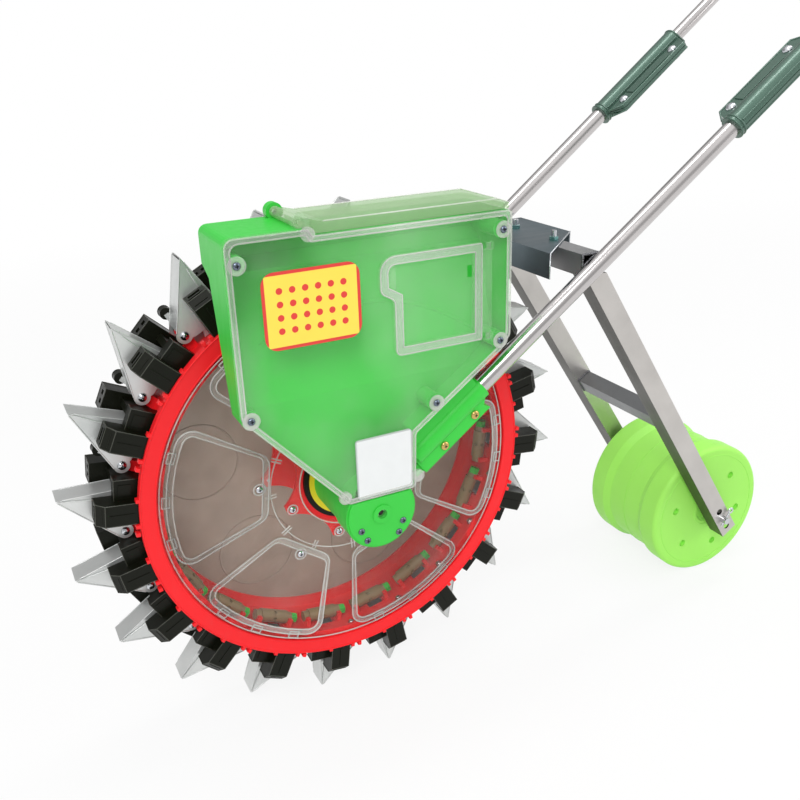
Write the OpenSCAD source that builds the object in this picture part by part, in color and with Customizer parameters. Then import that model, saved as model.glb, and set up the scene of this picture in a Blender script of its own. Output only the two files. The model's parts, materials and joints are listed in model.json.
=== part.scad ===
// Walk-behind rolling seed planter: a spiked duckbill wheel under a hopper, pushed by two handles,
// with a press wheel behind. X points rearward, Y to the far side, Z up; the floor is z = 0.

/* [Planting wheel] */
// Number of planting stations round the wheel
stations = 20; // [16:1:20]
// Radius to the beak tips
tip_r = 290; // [275:1:310]
// Outer radius of the two rim rings
rim_r = 218; // [214:1:222]
// Width of the wheel over the rings
rim_w = 88; // [84:1:100]
// Radial height of a rim ring
ring_h = 17; // [15:1:20]
// Axial thickness of a rim ring
ring_t = 8; // [6:0.5:10]
// How far the drum lies below the ring edge
drum_drop = 6; // [5:0.5:8]
// Wall of the drum
drum_wall = 6; // [4:0.5:8]
// Thickness of the clear wheel covers
cover_t = 2.5; // [2:0.5:4]
// Radius of the opening in the middle of the near cover
cover_eye_r = 52; // [50:1:58]
// Number of windows in the near cover
windows = 6; // [5:1:7]
// Inner radius of a window panel
window_in_r = 92; // [88:1:98]
// Half angle of a window panel
window_half = 24.5; // [20:0.5:26]
// Thickness of a window panel
window_t = 2; // [1.5:0.5:3]
// Height of the ribs on a window panel
rib_h = 1.6; // [1:0.2:2.4]

/* [Beaks] */
// Width of a beak across its two side plates
beak_w = 30; // [24:1:32]
// Sheet thickness of the beaks
sheet_t = 1.2; // [1:0.1:1.6]
// Distance of the beak pivot outside the ring edge
pivot_out = 8; // [7:0.5:11]
// Distance of the beak pivot ahead of the tip
pivot_lead = 41; // [38:1:42]
// Radius of the pivot ear
ear_r = 8; // [7:0.5:9]
// Radius of the pivot screw
pivot_pin_r = 2.5; // [2:0.25:3]
// Lean of the trailing face at its root
root_lean = 7; // [5:0.5:9]
// Radius of the trip knob
knob_r = 6; // [4:0.5:6.5]
// Length of the trip lever from the pivot
lever_len = 18; // [15:1:20]

/* [Mouth blocks] */
// Reach of a mouth block ahead of the beak's tip
block_lead = 21; // [16:1:24]
// Height of the near cheek above the ring edge
cheek_h = 39; // [30:1:40]
// Height of the far cheek above the ring edge
far_cheek_h = 36; // [28:1:38]
// Height of the stepped back of the block above the ring edge
back_h = 21; // [16:1:24]
// How far the stepped back lies behind the near cheek's face
back_step = 11; // [6:1:14]
// Chamfer along the near cheek's outer edge
cheek_chamfer = 8; // [4:0.5:10]

/* [Hopper] */
// Distance of the hopper's front face from the wheel's middle
hopper_face = 130; // [124:1:145]
// Depth of the hopper at the top
hopper_depth = 74; // [66:1:78]
// Wall of the hopper shell
hopper_wall = 2.5; // [2:0.5:4]
// Reach of the hopper ahead of the axle
hopper_front = 131; // [115:1:145]
// Reach of the hopper behind the axle
hopper_rear = 150; // [148:1:165]
// Height of the hopper's top above the axle
hopper_top = 290; // [280:1:310]
// Height above the axle where the front slope starts
hopper_knee = 128; // [110:1:140]
// Thickness of the clear hopper cover
hopper_cover_t = 3; // [2:0.5:4]
// Radius of the hub under the hopper
hub_r = 38; // [37:0.5:42]
// Radius of the feed spout
spout_r = 36; // [33:0.5:36.5]
// Radius of the main axle
axle_r = 7.5; // [6:0.5:8]
// Thickness of the lid
lid_t = 3; // [2:0.5:4]
// Radius of the lid's hinge barrel
lid_barrel_r = 5; // [4.5:0.25:6]

/* [Handles] */
// Slope of the handle tubes over the hopper's level
handle_slope = 37; // [35:0.5:38]
// Half the distance between the handle tubes at the axle
handle_half = 101; // [99:1:112]
// Outward splay of each handle tube
handle_splay = 1; // [0.5:0.25:2]
// Diameter of the lower handle tubes
lower_tube_d = 19; // [18:0.5:20]
// Diameter of the upper handle tubes
upper_tube_d = 16; // [14:0.5:16]
// Wall of the handle tubes
tube_wall = 1.2; // [1:0.1:1.4]
// Length along the handle to the end of the lower tube
lower_end = 628; // [610:1:650]
// Length of a connector sleeve
sleeve_len = 145; // [130:1:160]
// Length along the handle to the end of the grips
handle_end = 1085; // [1000:5:1200]
// Length of a grip
grip_len = 120; // [100:1:140]
// Radius of a grip
grip_r = 16; // [14:0.5:18]

/* [Rear frame] */
// Length along the handle to the crossbar
crossbar_at = 343; // [335:1:360]
// Length from the crossbar to the press wheel's axle
leg_len = 455; // [440:1:470]
// Slope of the legs below the hopper's level
leg_slope = 57.3; // [55:0.1:60]
// Width of the square tubes
bar = 24; // [20:1:26]
// Wall of the square tubes
bar_wall = 2; // [1.5:0.25:3]
// Width of the crossbar channel
channel_w = 84; // [60:1:90]
// Distance of the lower brace from the press wheel's axle
brace_up = 195; // [180:1:230]
// Spacing of the height holes in the legs
hole_step = 15; // [13:0.5:18]

/* [Press wheel] */
// Radius of the press wheel
press_r = 92; // [80:1:95]
// Width of the press wheel
press_w = 134; // [110:1:136]
// Width of each press wheel rim
press_rim_w = 34; // [24:1:38]
// Depth of the barrel below the rims
press_step = 5; // [4:0.5:10]
// Radius of the press wheel's axle
press_axle_r = 4.5; // [4:0.25:5]

/* [Hidden] */
$fn = 64;
// Running fit between a shaft and its bore, radial
fit = 0.05;
// Gap between parts that move past each other
gap = 0.3;
pitch = 360 / stations;
// Two beaks share the load, half a pitch either side of straight down
phase = 270 - pitch / 2;
axle_h = tip_r * cos(pitch / 2);

drum_r = rim_r - drum_drop;
ring_in = rim_r - ring_h;
half_w = rim_w / 2;
shelf_y = half_w - ring_t + 3;
cover_y = shelf_y + cover_t;
cover_r = ring_in - 0.3;
pivot_r = rim_r + pivot_out;
plate_out = beak_w / 2;
plate_in = plate_out - sheet_t;
fixed_out = plate_in - gap;
lug_half = fixed_out - 3;
lug_r = 5.5;
lug_foot_half = 5.8;
// The post's foot sinks into the drum wall even where the wall curves away
lug_foot = sqrt(pow(drum_r, 2) - pow(pivot_lead + lug_foot_half, 2)) - 2;
// A block ends just short of the pivot ear of the beak behind it
block_trail = pivot_r * sin(pitch) - pivot_lead * cos(pitch) - ear_r - 0.85;
star_tip_r = 72;
star_screw_r = 66;
star_t = 4;
scoop_r = 50;
star_y = shelf_y - 0.05;
window_out_r = cover_r - 7;
window_screw_r = 97;
// Share of the half angle that a window keeps at its inner end
window_taper = 0.9;
window_phase = 51.3;
star_phase = 19;

// Handle and rear frame, seen from the side: X back and Z up from the axle
crossbar_x = crossbar_at * cos(handle_slope);
crossbar_z = crossbar_at * sin(handle_slope);
press_x = crossbar_x + leg_len * cos(leg_slope);
press_z = crossbar_z - leg_len * sin(leg_slope);
// Lean of the frame that sets the press wheel on the floor
lean = atan2(press_z, press_x) - asin((press_r - axle_h) / norm([press_x, press_z]));
handle_pitch = handle_slope - lean;
lower_tube_r = lower_tube_d / 2;
upper_tube_r = upper_tube_d / 2;
grip_tip = handle_end - grip_r;
// Place of the axle that centres the whole machine on x = 0
front_reach = tip_r * cos(pitch / 2);
rear_reach = grip_tip * cos(handle_splay) * cos(handle_pitch) + grip_r;
axle_x = (front_reach - rear_reach) / 2;
// Room between the press wheel and each leg
press_clear = 6;
// Half the distance that the tubes need outside the legs and the press wheel
handle_need = press_w / 2 + press_clear + bar + gap + lower_tube_r / cos(handle_splay)
    - crossbar_at * tan(handle_splay);
handle_y = max(handle_half, handle_need);
leg_out = handle_y + crossbar_at * tan(handle_splay) - lower_tube_r / cos(handle_splay) - gap;
leg_in = leg_out - bar;
leg_tail = hole_step + bar / 2;

hopper_back = hopper_face - hopper_depth;
shell_front = hopper_face - hopper_cover_t;
lid_z = hopper_top - 6;
lid_hinge_x = -62;
lid_hinge_z = hopper_top + lid_barrel_r + gap;
neck_z = 18;
neck_front = -33;
neck_rear = 40;
sleeve_start = lower_end - sleeve_len / 2;
sleeve_end = lower_end + sleeve_len / 2;
sleeve_r = lower_tube_r + 3.5;
flange_w = 19;
flange_t = 4.5;
door_left = 22;
door_right = 122;
door_low = 161;
door_high = 257;
door_axis_y = -hopper_face - 4;
door_pin_r = 2;
door_barrel_r = 3.5;
door_t = 2;

red = "#E2231F";
green = "#3CC64B";
clear = [0.72, 0.86, 0.74, 0.45];
smoky = [0.55, 0.52, 0.47, 0.5];
steel = "#C4C7CA";
zinc = "#6E767C";
black = "#17181A";

function beak_name(k) = str("beak_moving_", k < 10 ? "0" : "", k);

// Outline with each corner rounded by its own radius, or left sharp where that is 0
function round_corners(p, r, steps = 5) =
    let (n = len(p))
    [for (i = [0:n - 1])
        let (
            back = unit(p[(i + n - 1) % n] - p[i]),
            ahead = unit(p[(i + 1) % n] - p[i]),
            half = acos(back * ahead) / 2,
            centre = p[i] + unit(back + ahead) * r[i] / sin(half),
            side = sign(back[0] * ahead[1] - back[1] * ahead[0])
        )
        each r[i] == 0 ? [p[i]] : [for (s = [0:steps])
            let (
                away = unit(p[i] - centre),
                turn = side * (90 - half) * (1 - 2 * s / steps)
            )
            centre + r[i] * [away[0] * cos(turn) - away[1] * sin(turn),
                             away[0] * sin(turn) + away[1] * cos(turn)]]];

function unit(v) = v / norm(v);

// Rounded outline drawn in by d, with the corner radii following
function drawn_in(p, r, d) = round_corners(inset(p, d), [for (q = r) max(q - d, 0.5)]);

// The same outline drawn in by d on every side
function inset(p, d) =
    let (n = len(p))
    [for (i = [0:n - 1])
        let (
            u = unit(p[i] - p[(i + n - 1) % n]),
            v = unit(p[(i + 1) % n] - p[i]),
            a = [-u[1], u[0]],
            b = [-v[1], v[0]]
        )
        p[i] + (a + b) * d / (1 + a * b)];

// Plate in the XZ plane between two Y values
module slab(y0, y1) translate([0, y1, 0]) rotate([90, 0, 0]) linear_extrude(y1 - y0) children();

// Solid turned about the Y axis from a section in (radius, y)
module turned() rotate([-90, 0, 0]) rotate_extrude($fn = 160) children();

module rod_y(r, y0, y1) translate([0, y0, 0]) rotate([-90, 0, 0]) cylinder(r = r, h = y1 - y0);

module rod_x(r, x0, x1) translate([x0, 0, 0]) rotate([0, 90, 0]) cylinder(r = r, h = x1 - x0);

module box(x, y, z) translate([x[0], y[0], z[0]]) cube([x[1] - x[0], y[1] - y[0], z[1] - z[0]]);

module at_axle() translate([axle_x, 0, axle_h]) children();

// Frame parts are laid out with the hopper upright, then leaned onto the press wheel
module in_frame() at_axle() rotate([0, lean, 0]) children();

// Wheel parts at station k: X outward, Z along the rim ahead of the tip
module at_station(k) at_axle() rotate([0, -(phase + k * pitch), 0]) children();

module all_stations() for (k = [0:stations - 1]) at_station(k) children();

// Along a handle tube: X up the tube, side -1 is the near one
module on_handle(side) in_frame() translate([0, side * handle_y, 0]) rotate([0, -handle_slope, 0])
    rotate([0, 0, side * handle_splay]) children();

// Domed screw on the face y = 0, its head towards -Y
module dome_screw(head_r, head_h, shank_r, shank) {
    turned() polygon(concat([[0, 0]], [[head_r, 0]],
        [for (a = [15:15:90]) [head_r * cos(a), -head_h * sin(a)]]));
    rod_y(shank_r, -0.01, shank);
}

// Planting wheel

module rim_section() polygon([
    [ring_in, -half_w], [rim_r, -half_w], [rim_r, ring_t - half_w], [drum_r, ring_t - half_w],
    [drum_r, half_w - ring_t], [rim_r, half_w - ring_t], [rim_r, half_w], [ring_in, half_w],
    [ring_in, shelf_y], [ring_in - 7, shelf_y], [ring_in - 7, half_w - ring_t],
    [drum_r - drum_wall, half_w - ring_t], [drum_r - drum_wall, ring_t - half_w],
    [ring_in - 7, ring_t - half_w], [ring_in - 7, -shelf_y], [ring_in, -shelf_y]]);

module rim_drum() color(red) difference() {
    union() {
        at_axle() turned() rim_section();
        all_stations() {
            pivot_lug();
            for (s = [-1, 1]) roller_seat(s);
        }
    }
    all_stations() {
        translate([pivot_r, 0, pivot_lead]) rod_y(pivot_pin_r + fit, -half_w, half_w);
        box([ring_in, drum_r + 1], [-9, 9], [-4, 15]);
        for (s = [-1, 1]) edge_notch(s);
    }
}

// Post between the side plates that carries the pivot screw
module pivot_lug() slab(-lug_half, lug_half / 2) {
    translate([pivot_r, pivot_lead]) circle(r = lug_r);
    polygon([[lug_foot, pivot_lead - lug_foot_half], [pivot_r, pivot_lead - lug_r + 0.2],
             [pivot_r, pivot_lead + lug_r - 0.2], [lug_foot, pivot_lead + lug_foot_half]]);
}

// Stepped edge of the ring between two stations
module edge_notch(s) translate([0, s * half_w, 0])
    box([rim_r - 1.5, rim_r + 3], [-2.5, 2.5], [pivot_lead - 3, pivot_lead + 9]);

roller_r = 7.5;
roller_len = 42;
seat_in = 17;
seat_out = 22;
cell_depth = 3;
roller_at = drum_r - drum_wall - roller_r - 2;

// Saddle on the drum's inner wall under one end of a metering roller
module roller_seat(s) difference() {
    box([roller_at - 2, drum_r - drum_wall + 1], [-roller_r - 3, roller_r + 3],
        s > 0 ? [seat_in, seat_out] : [-seat_out, -seat_in]);
    translate([roller_at, 0, -30]) cylinder(r = roller_r - 1.5 + fit, h = 60);
    box([roller_at - 9, roller_at], [1.5 - roller_r, roller_r - 1.5], [-30, 30]);
}

// Seed-metering roller with a hexagonal setting knob at one end
module metering_rollers() color("#6C7A45") all_stations() translate([roller_at, 0, 0]) {
    difference() {
        union() {
            translate([0, 0, gap - seat_in]) cylinder(r = roller_r, h = 2 * (seat_in - gap));
            translate([0, 0, -roller_len / 2 - 2]) cylinder(r = roller_r - 1.5, h = roller_len + 3);
            translate([0, 0, roller_len / 2 + 1]) cylinder(r = 6, h = 7, $fn = 6);
        }
        for (a = [30:60:330]) rotate([0, 0, a]) translate([roller_r - cell_depth, 0, 0]) rotate([0, 90, 0])
            cylinder(r = 2.2, h = 2 * cell_depth);
    }
}

// Wedge-shaped window outline between two radii, corners rounded
module window_shape(grow) {
    a = window_half + atan(grow / window_out_r);
    rin = window_in_r - grow;
    rout = window_out_r + grow;
    corner = [for (t = [-a, a]) rin * [cos(t * window_taper), sin(t * window_taper)]];
    rim_arc = [for (i = [0:8]) rout * [cos(a * (1 - i / 4)), sin(a * (1 - i / 4))]];
    polygon(round_corners(concat([corner[0]], [for (i = [8:-1:0]) rim_arc[i]], [corner[1]]),
        concat([16 + grow, 17 + grow], [for (i = [1:7]) 0], [17 + grow, 16 + grow]), 6));
}

module all_windows() for (k = [0:windows - 1])
    rotate([0, -(window_phase + k * 360 / windows), 0]) children();

module all_star_tips() for (k = [0:5]) rotate([0, -(star_phase + k * 60), 0]) children();

window_y = -cover_y;
// Height of the bead along the near cover's edge
rim_bead = 1.3;

module wheel_cover_near() color(smoky) at_axle() difference() {
    union() {
        turned() polygon([[cover_eye_r, -cover_y], [cover_r, -cover_y], [cover_r, -shelf_y],
                          [cover_eye_r, -shelf_y]]);
        turned() polygon([[cover_eye_r, -cover_y - 4], [cover_eye_r + 2.5, -cover_y - 4],
                          [cover_eye_r + 2.5, -cover_y + 1], [cover_eye_r, -cover_y + 1]]);
        turned() polygon([[cover_r - 3, -cover_y - rim_bead], [cover_r - 1, -cover_y - rim_bead],
                          [cover_r - 1, -cover_y + 1], [cover_r - 3, -cover_y + 1]]);
    }
    all_windows() {
        slab(-cover_y - 1, -shelf_y + 1) difference() {
            window_shape(-6);
            translate([window_screw_r, 0]) circle(r = 9);
            translate([window_screw_r - 20, -9]) square([20, 18]);
        }
        translate([window_screw_r, 0, 0]) rod_y(2, -cover_y - 5, 0);
    }
    all_star_tips() translate([star_screw_r, 0, 0]) rod_y(2, -cover_y - 5, 0);
}

// Window panels with a raised double rib and hook tabs along the outer edge
module cover_windows() color(smoky) at_axle() all_windows() difference() {
    union() {
        slab(window_y - window_t, window_y) window_shape(0);
        for (d = [0.4, 6.5]) slab(window_y - window_t - rib_h, window_y - window_t / 2) difference() {
            window_shape(-d);
            window_shape(-d - 2);
        }
        translate([window_screw_r, 0, 0]) rod_y(6.5, window_y - window_t - rib_h, window_y - 0.5);
        for (a = [-14, 0, 14]) rotate([0, -a, 0])
            box([window_out_r - 5, window_out_r + 3.5], [window_y - window_t - rib_h - 0.4, window_y - 0.6],
                [-6, 6]);
    }
    translate([window_screw_r, 0, 0]) rod_y(2, window_y - 9, window_y + 1);
}

far_eye_r = 24;
// Ring-shaped ribs of the far cover
far_ribs = [0.45, 0.7, 0.93] * cover_r;

module wheel_cover_far() color(smoky) at_axle() difference() {
    union() {
        turned() polygon([[far_eye_r, shelf_y], [cover_r, shelf_y], [cover_r, cover_y],
                          [far_eye_r, cover_y]]);
        for (r = far_ribs) turned() polygon([[r, cover_y - 1], [r + 3, cover_y - 1],
                                             [r + 3, cover_y + 1.5], [r, cover_y + 1.5]]);
        for (a = [0:60:300]) rotate([0, a, 0])
            box([far_eye_r + 6, far_ribs[2] + 1.5], [cover_y - 0.7, cover_y + 1.1], [-1.5, 1.5]);
    }
    all_star_tips() translate([star_screw_r, 0, 0]) rod_y(2, 0, cover_y + 5);
}

// Six-pointed star with hollowed sides
module star_shape(hole) difference() {
    circle(r = star_tip_r);
    for (k = [0:5]) rotate(k * 60 + 30) translate([star_tip_r + 32, 0]) circle(r = scoop_r);
    circle(r = hole);
}

module hub_star_near() color(red) at_axle() difference() {
    rotate([0, -star_phase, 0]) slab(-star_y, star_t - star_y) star_shape(spout_r + 8.02);
    all_star_tips() translate([star_screw_r, 0, 0]) rod_y(2, -half_w, half_w);
}

module hub_star_far() color(red) at_axle() difference() {
    rotate([0, -star_phase, 0]) slab(star_y - star_t, star_y) star_shape(16.02);
    all_star_tips() translate([star_screw_r, 0, 0]) rod_y(2, -half_w, half_w);
}

// Bearing sleeve that runs on the axle, with a flange against the far star
module hub_sleeve() color("#D8D8D2") at_axle() turned() polygon([
    [axle_r + fit, -12], [13, -12], [13, star_y - star_t - 6], [30, star_y - star_t - 6],
    [30, star_y - star_t - 0.02], [16, star_y - star_t - 0.02], [16, cover_y + 6],
    [axle_r + fit, cover_y + 6]]);

// Yellow bearing ring that runs on the feed spout, with a raised collar
module inlet_ring() color("#F2D21C") at_axle() turned() polygon([
    [spout_r + fit, -cover_y - 3], [spout_r + 5.5, -cover_y - 3], [spout_r + 5.5, -cover_y - 1],
    [spout_r + 11, -cover_y - 1], [spout_r + 11, -star_y - 0.02], [spout_r + 8, -star_y - 0.02],
    [spout_r + 8, star_t - star_y], [spout_r + fit, star_t - star_y]]);

// Trailing half of a beak: a folded channel that stays fixed to the drum
module fixed_outline() polygon([[drum_r + fit, -root_lean], [drum_r + fit, 26], [tip_r - 9, 3], [tip_r, 0]]);

module fixed_web() polygon([
    [drum_r + fit, -root_lean], [drum_r + fit, -root_lean + sheet_t], [tip_r - 6, sheet_t], [tip_r, 0]]);

module beak_fixed_halves() color(steel) all_stations() {
    for (s = [-1, 1]) slab(s > 0 ? fixed_out - sheet_t : -fixed_out,
                           s > 0 ? fixed_out : sheet_t - fixed_out) fixed_outline();
    slab(-fixed_out, fixed_out) fixed_web();
}

nose = tip_r - 0.5;

ear_top = [pivot_r + ear_r * cos(40), pivot_lead + ear_r * sin(40)];

// Side plate of the leading half: from the nose down to the pivot ear
module moving_outline() {
    polygon([[nose, 0.6], ear_top, [pivot_r - ear_r / 2, pivot_lead], [rim_r + 1, pivot_lead - 8],
             [rim_r + 1, 4], [nose - 12, 0.6]]);
    translate([pivot_r, pivot_lead]) circle(r = ear_r);
}

// Folded web that joins the two side plates just inside their leading edge
module leading_web() {
    along = unit(ear_top - [nose, 0.6]);
    inward = [along[1], -along[0]] * (along[1] > 0 ? -1 : 1);
    polygon([[nose, 0.6] + along * 2 + inward * 0.1, ear_top - along * 2 + inward * 0.1,
             ear_top - along * 2 + inward * sheet_t, [nose, 0.6] + along * 4 + inward * sheet_t]);
}

lever_t = 2;

// Leading half of a beak: a folded channel with pivot ears and a trip lever on the far ear
module beak_moving(k) color(steel) at_station(k - 1) difference() {
    union() {
        for (s = [-1, 1])
            slab(s > 0 ? plate_in : -plate_out, s > 0 ? plate_out : -plate_in) moving_outline();
        slab(-plate_in - 0.2, plate_in + 0.2) leading_web();
        translate([pivot_r, 0, pivot_lead]) {
            rod_y(ear_r - 1, plate_in + 0.4, plate_out + lever_t);
            box([2, lever_len], [plate_out - 0.4, plate_out + lever_t - 0.2], [-2.5, 2.5]);
            translate([lever_len, 0, 0]) rod_y(knob_r, plate_out + 0.6, plate_out + 11);
        }
    }
    translate([pivot_r, 0, pivot_lead]) rod_y(pivot_pin_r + fit, -beak_w, beak_w);
}

// Pivot screw through both ears, the post and the return spring
module beak_pivot_screws() color(steel) all_stations() translate([pivot_r, 0, pivot_lead]) {
    translate([0, -plate_out - gap / 2, 0]) dome_screw(4.5, 3, pivot_pin_r, beak_w + 3);
    rod_y(4, plate_out + lever_t + gap / 2, plate_out + lever_t + 3);
}

// Return spring round the pivot screw, beside the post
module beak_springs() color(zinc) all_stations() translate([pivot_r, 0, pivot_lead]) difference() {
    rod_y(ear_r - 3, lug_half / 2 + 0.2, fixed_out - 1);
    rod_y(pivot_pin_r + 0.2, 0, beak_w);
}

// Inner face of the far cheek, clear of the neighbour's lever
far_cheek_y = plate_out + 3.5;
cheek_in = -plate_out - 1.5;
cheek_out = 3 - half_w;
block_foot = drum_r - 8;
// Behind the beak a bridge joins the cheeks, clear of the neighbour's pivot post
bridge_start = 5 - block_trail;
bridge_end = -root_lean - 2.5;
pocket = 5;

// Plastic mouth round a beak: chamfered near cheek, stepped back and far cheek
module mouth_blocks() color(black) all_stations() difference() {
    union() {
        translate([0, 0, -1]) linear_extrude(block_lead + 1) polygon([
            [block_foot, cheek_in], [block_foot, cheek_out], [rim_r + cheek_h - cheek_chamfer, cheek_out],
            [rim_r + cheek_h, cheek_out + cheek_chamfer], [rim_r + cheek_h, cheek_in]]);
        box([block_foot, rim_r + back_h], [cheek_out + back_step, cheek_in], [-block_trail, 0]);
        box([block_foot, rim_r + back_h - 2], [cheek_in - 1, far_cheek_y + 1], [bridge_start, bridge_end]);
        box([block_foot, rim_r + far_cheek_h], [far_cheek_y, -cheek_out], [-block_trail, 1]);
    }
    rod_y(drum_r + fit, -half_w, half_w, $fn = 160);
    for (s = [-1, 1]) translate([0, s * (half_w - ring_t / 2), 0])
        rod_y(rim_r + fit, -ring_t / 2 - 0.1, ring_t / 2 + 0.1, $fn = 160);
    for (t = [4, 13]) translate([0, far_cheek_y + 6, t - block_trail])
        box([rim_r + far_cheek_h - pocket, rim_r + far_cheek_h + 1], [0, pocket + 2], [0, pocket]);
    box([rim_r + cheek_h - pocket, rim_r + cheek_h + 1], [cheek_in - 9, cheek_in - 4], [4, block_lead - 4]);
}

// Screws of the windows and of the near and far stars
module wheel_screws() color("#D5D8DC") at_axle() {
    all_windows() translate([window_screw_r, window_y - window_t - rib_h, 0]) dome_screw(4, 2.4, 1.9, 5);
    all_star_tips() translate([star_screw_r, -cover_y, 0]) dome_screw(4, 2.4, 1.9, 6);
    all_star_tips() translate([star_screw_r, cover_y, 0]) rotate([0, 0, 180]) dome_screw(4, 2.4, 1.9, 6);
}

// Hopper and hub

axle_end = hopper_face + 1;
socket_r = 5;
cap_boss_end = hopper_face + 5.5;
far_end = hopper_face + 8;
axle_head_r = 13;
// Blind hole in the near end of the axle
axle_hole_r = 3;
axle_hole_depth = 12;

// Main axle with a hexagon head outside the far clamp
module axle() color(steel) in_frame() difference() {
    union() {
        rod_y(axle_r, -axle_end, far_end);
        translate([0, handle_y + clamp_half + 0.5, 0]) rotate([-90, 0, 0])
            cylinder(r = axle_head_r, h = 9, $fn = 6);
    }
    rod_y(axle_hole_r, -axle_end - 1, axle_hole_depth - axle_end);
}

hopper_points = [
    [neck_front, neck_z], [neck_rear, neck_z], [neck_rear + 2, 77], [hopper_rear - 10, 146],
    [hopper_rear, 160], [hopper_rear, lid_z], [-52, lid_z], [-56, hopper_top],
    [-hopper_front, hopper_top], [-hopper_front, hopper_knee]];
hopper_radii = [4, 4, 6, 8, 8, 5, 1, 1, 8, 10];

// Back of the hopper: deep above the wheel, drawn in beside it
back_points = [
    [-hopper_face - 1, 0], [-hopper_back - 47, 0], [-hopper_back - 47, 128], [-hopper_back - 36, 175],
    [-hopper_back - 20, 246], [-hopper_back, 256], [-hopper_back, hopper_top + 10],
    [-hopper_face - 1, hopper_top + 10]];

module hopper_volume(d, front) intersection() {
    slab(-front, -hopper_back + 1) polygon(round_corners(inset(hopper_points, d), hopper_radii));
    translate([-hopper_front - 20, 0, 0]) rotate([90, 0, 90]) linear_extrude(hopper_front + hopper_rear + 40)
        polygon(inset(back_points, d));
}

boss_places = [[-hopper_front + 10, hopper_top - 23], [-hopper_front + 9, hopper_knee - 1],
               [hopper_rear - 10, lid_z - 18], [hopper_rear - 12, 156], [65, 104.5]];
boss_r = 8.5;
post_depth = 26;

module hopper_shell() color(green) in_frame() difference() {
    union() {
        difference() {
            hopper_volume(0, shell_front);
            hopper_volume(hopper_wall, hopper_face);
            box([-48, hopper_rear - hopper_wall], [-shell_front - 1, -hopper_back - hopper_wall],
                [lid_z - 6, lid_z + 20]);
        }
        for (b = boss_places)
            translate([b[0], 0, b[1]]) rod_y(boss_r, -shell_front, post_depth - shell_front);
        rod_y(hub_r, -shell_front, -hopper_back - 47);
        rod_y(spout_r, -hopper_back - 48, 6 - cover_y);
        lid_ear();
    }
    for (b = boss_places) translate([b[0], 0, b[1]]) rod_y(2, -shell_front - 1, 14 - shell_front);
    rod_y(spout_r - 4, -shell_front - 1, 20 - cover_y);
    intersection() {
        rod_y(hub_r - 4, -shell_front - 1, -hopper_back - 44);
        box([-hub_r, hub_r], [-hopper_face, 0], [-hub_r, neck_z + 8]);
    }
    box([-24, 32], [-shell_front - 1, -hopper_back - 52], [0, neck_z + 10]);
    for (c = cap_screw_places) translate([c[0], 0, c[1]]) rod_y(2, -shell_front - 1, 8 - shell_front);
    lid_pin_hole();
}

// Hinge ear for the lid at the back of the hopper's closed top
module lid_ear() slab(-hopper_back - 9, -hopper_back) difference() {
    union() {
        translate([lid_hinge_x, lid_hinge_z]) circle(r = lid_barrel_r + 3);
        translate([lid_hinge_x - lid_barrel_r, hopper_top - 2]) square([2 * lid_barrel_r, 5]);
    }
}

lid_pin_r = 2.5;

module lid_pin_hole() translate([lid_hinge_x, 0, lid_hinge_z])
    rod_y(lid_pin_r + fit, -hopper_back - 10, -hopper_back + 1);

cap_screw_places = [[-23, -14], [-17, -26], [23, -14], [18, -26]];

// Hub cap that holds the near end of the axle
module hub_cap() color(green) in_frame() difference() {
    union() {
        intersection() {
            union() {
                rod_y(hub_r, -hopper_face - 2, -shell_front - 0.02);
                rod_y(hub_r - 2, -hopper_face - 4, -shell_front - 0.02);
            }
            box([-hub_r, hub_r], [-hopper_face - 9, 0], [-hub_r, neck_z - 0.3]);
        }
        rod_y(axle_r + 2.5, -cap_boss_end, -shell_front - 0.02);
    }
    rod_y(axle_r + 0.02, -axle_end - 0.05, 0);
    rod_y(socket_r, -cap_boss_end - 1, 0);
    for (c = cap_screw_places) translate([c[0], 0, c[1]]) rod_y(2, -hopper_face - 9, 0);
}

// Recessed window of the clean-out door
door_points = [[door_left, door_low], [door_right - 6, door_low], [door_right - 6, door_high],
               [door_left - 14, door_high], [door_left - 14, door_high - 34], [door_left, door_high - 42]];

module door_shape(d) polygon(drawn_in(door_points, [6, 3, 3, 16, 8, 8], d));

lug_h = 7;

// Clear front of the hopper with its raised border, screw bosses, lid ear and door lugs
module hopper_cover() color(clear) in_frame() difference() {
    union() {
        slab(-hopper_face, -shell_front - 0.02) polygon(round_corners(hopper_points, hopper_radii));
        slab(-hopper_face - 1.5, -hopper_face + 0.1) difference() {
            polygon(round_corners(hopper_points, hopper_radii));
            polygon(round_corners(inset(hopper_points, 5), hopper_radii));
        }
        for (b = boss_places) translate([b[0], 0, b[1]]) rod_y(boss_r, -hopper_face - 2, 1 - hopper_face);
        slab(-hopper_face, -shell_front - 0.02) union() {
            translate([lid_hinge_x, lid_hinge_z]) circle(r = lid_barrel_r + 3);
            translate([lid_hinge_x - lid_barrel_r, hopper_top - 8]) square([2 * lid_barrel_r, 11]);
        }
        for (z = [door_low, door_high - lug_h])
            translate([door_right, 0, z + lug_h / 2]) box([-4, 4], [door_axis_y - 4, 0.5 - hopper_face],
                                                          [-lug_h / 2, lug_h / 2]);
    }
    for (b = boss_places) translate([b[0], 0, b[1]]) rod_y(2, -hopper_face - 9, 0);
    slab(-hopper_face - 9, 0) difference() {
        door_shape(8);
        translate([-200, 0]) square([200 + door_left + 4, 400]);
    }
    translate([lid_hinge_x, 0, lid_hinge_z]) rod_y(lid_pin_r + fit, -hopper_face - 9, 0);
    translate([door_right, door_axis_y, 0]) cylinder(r = door_pin_r + fit, h = 400);
}

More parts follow.
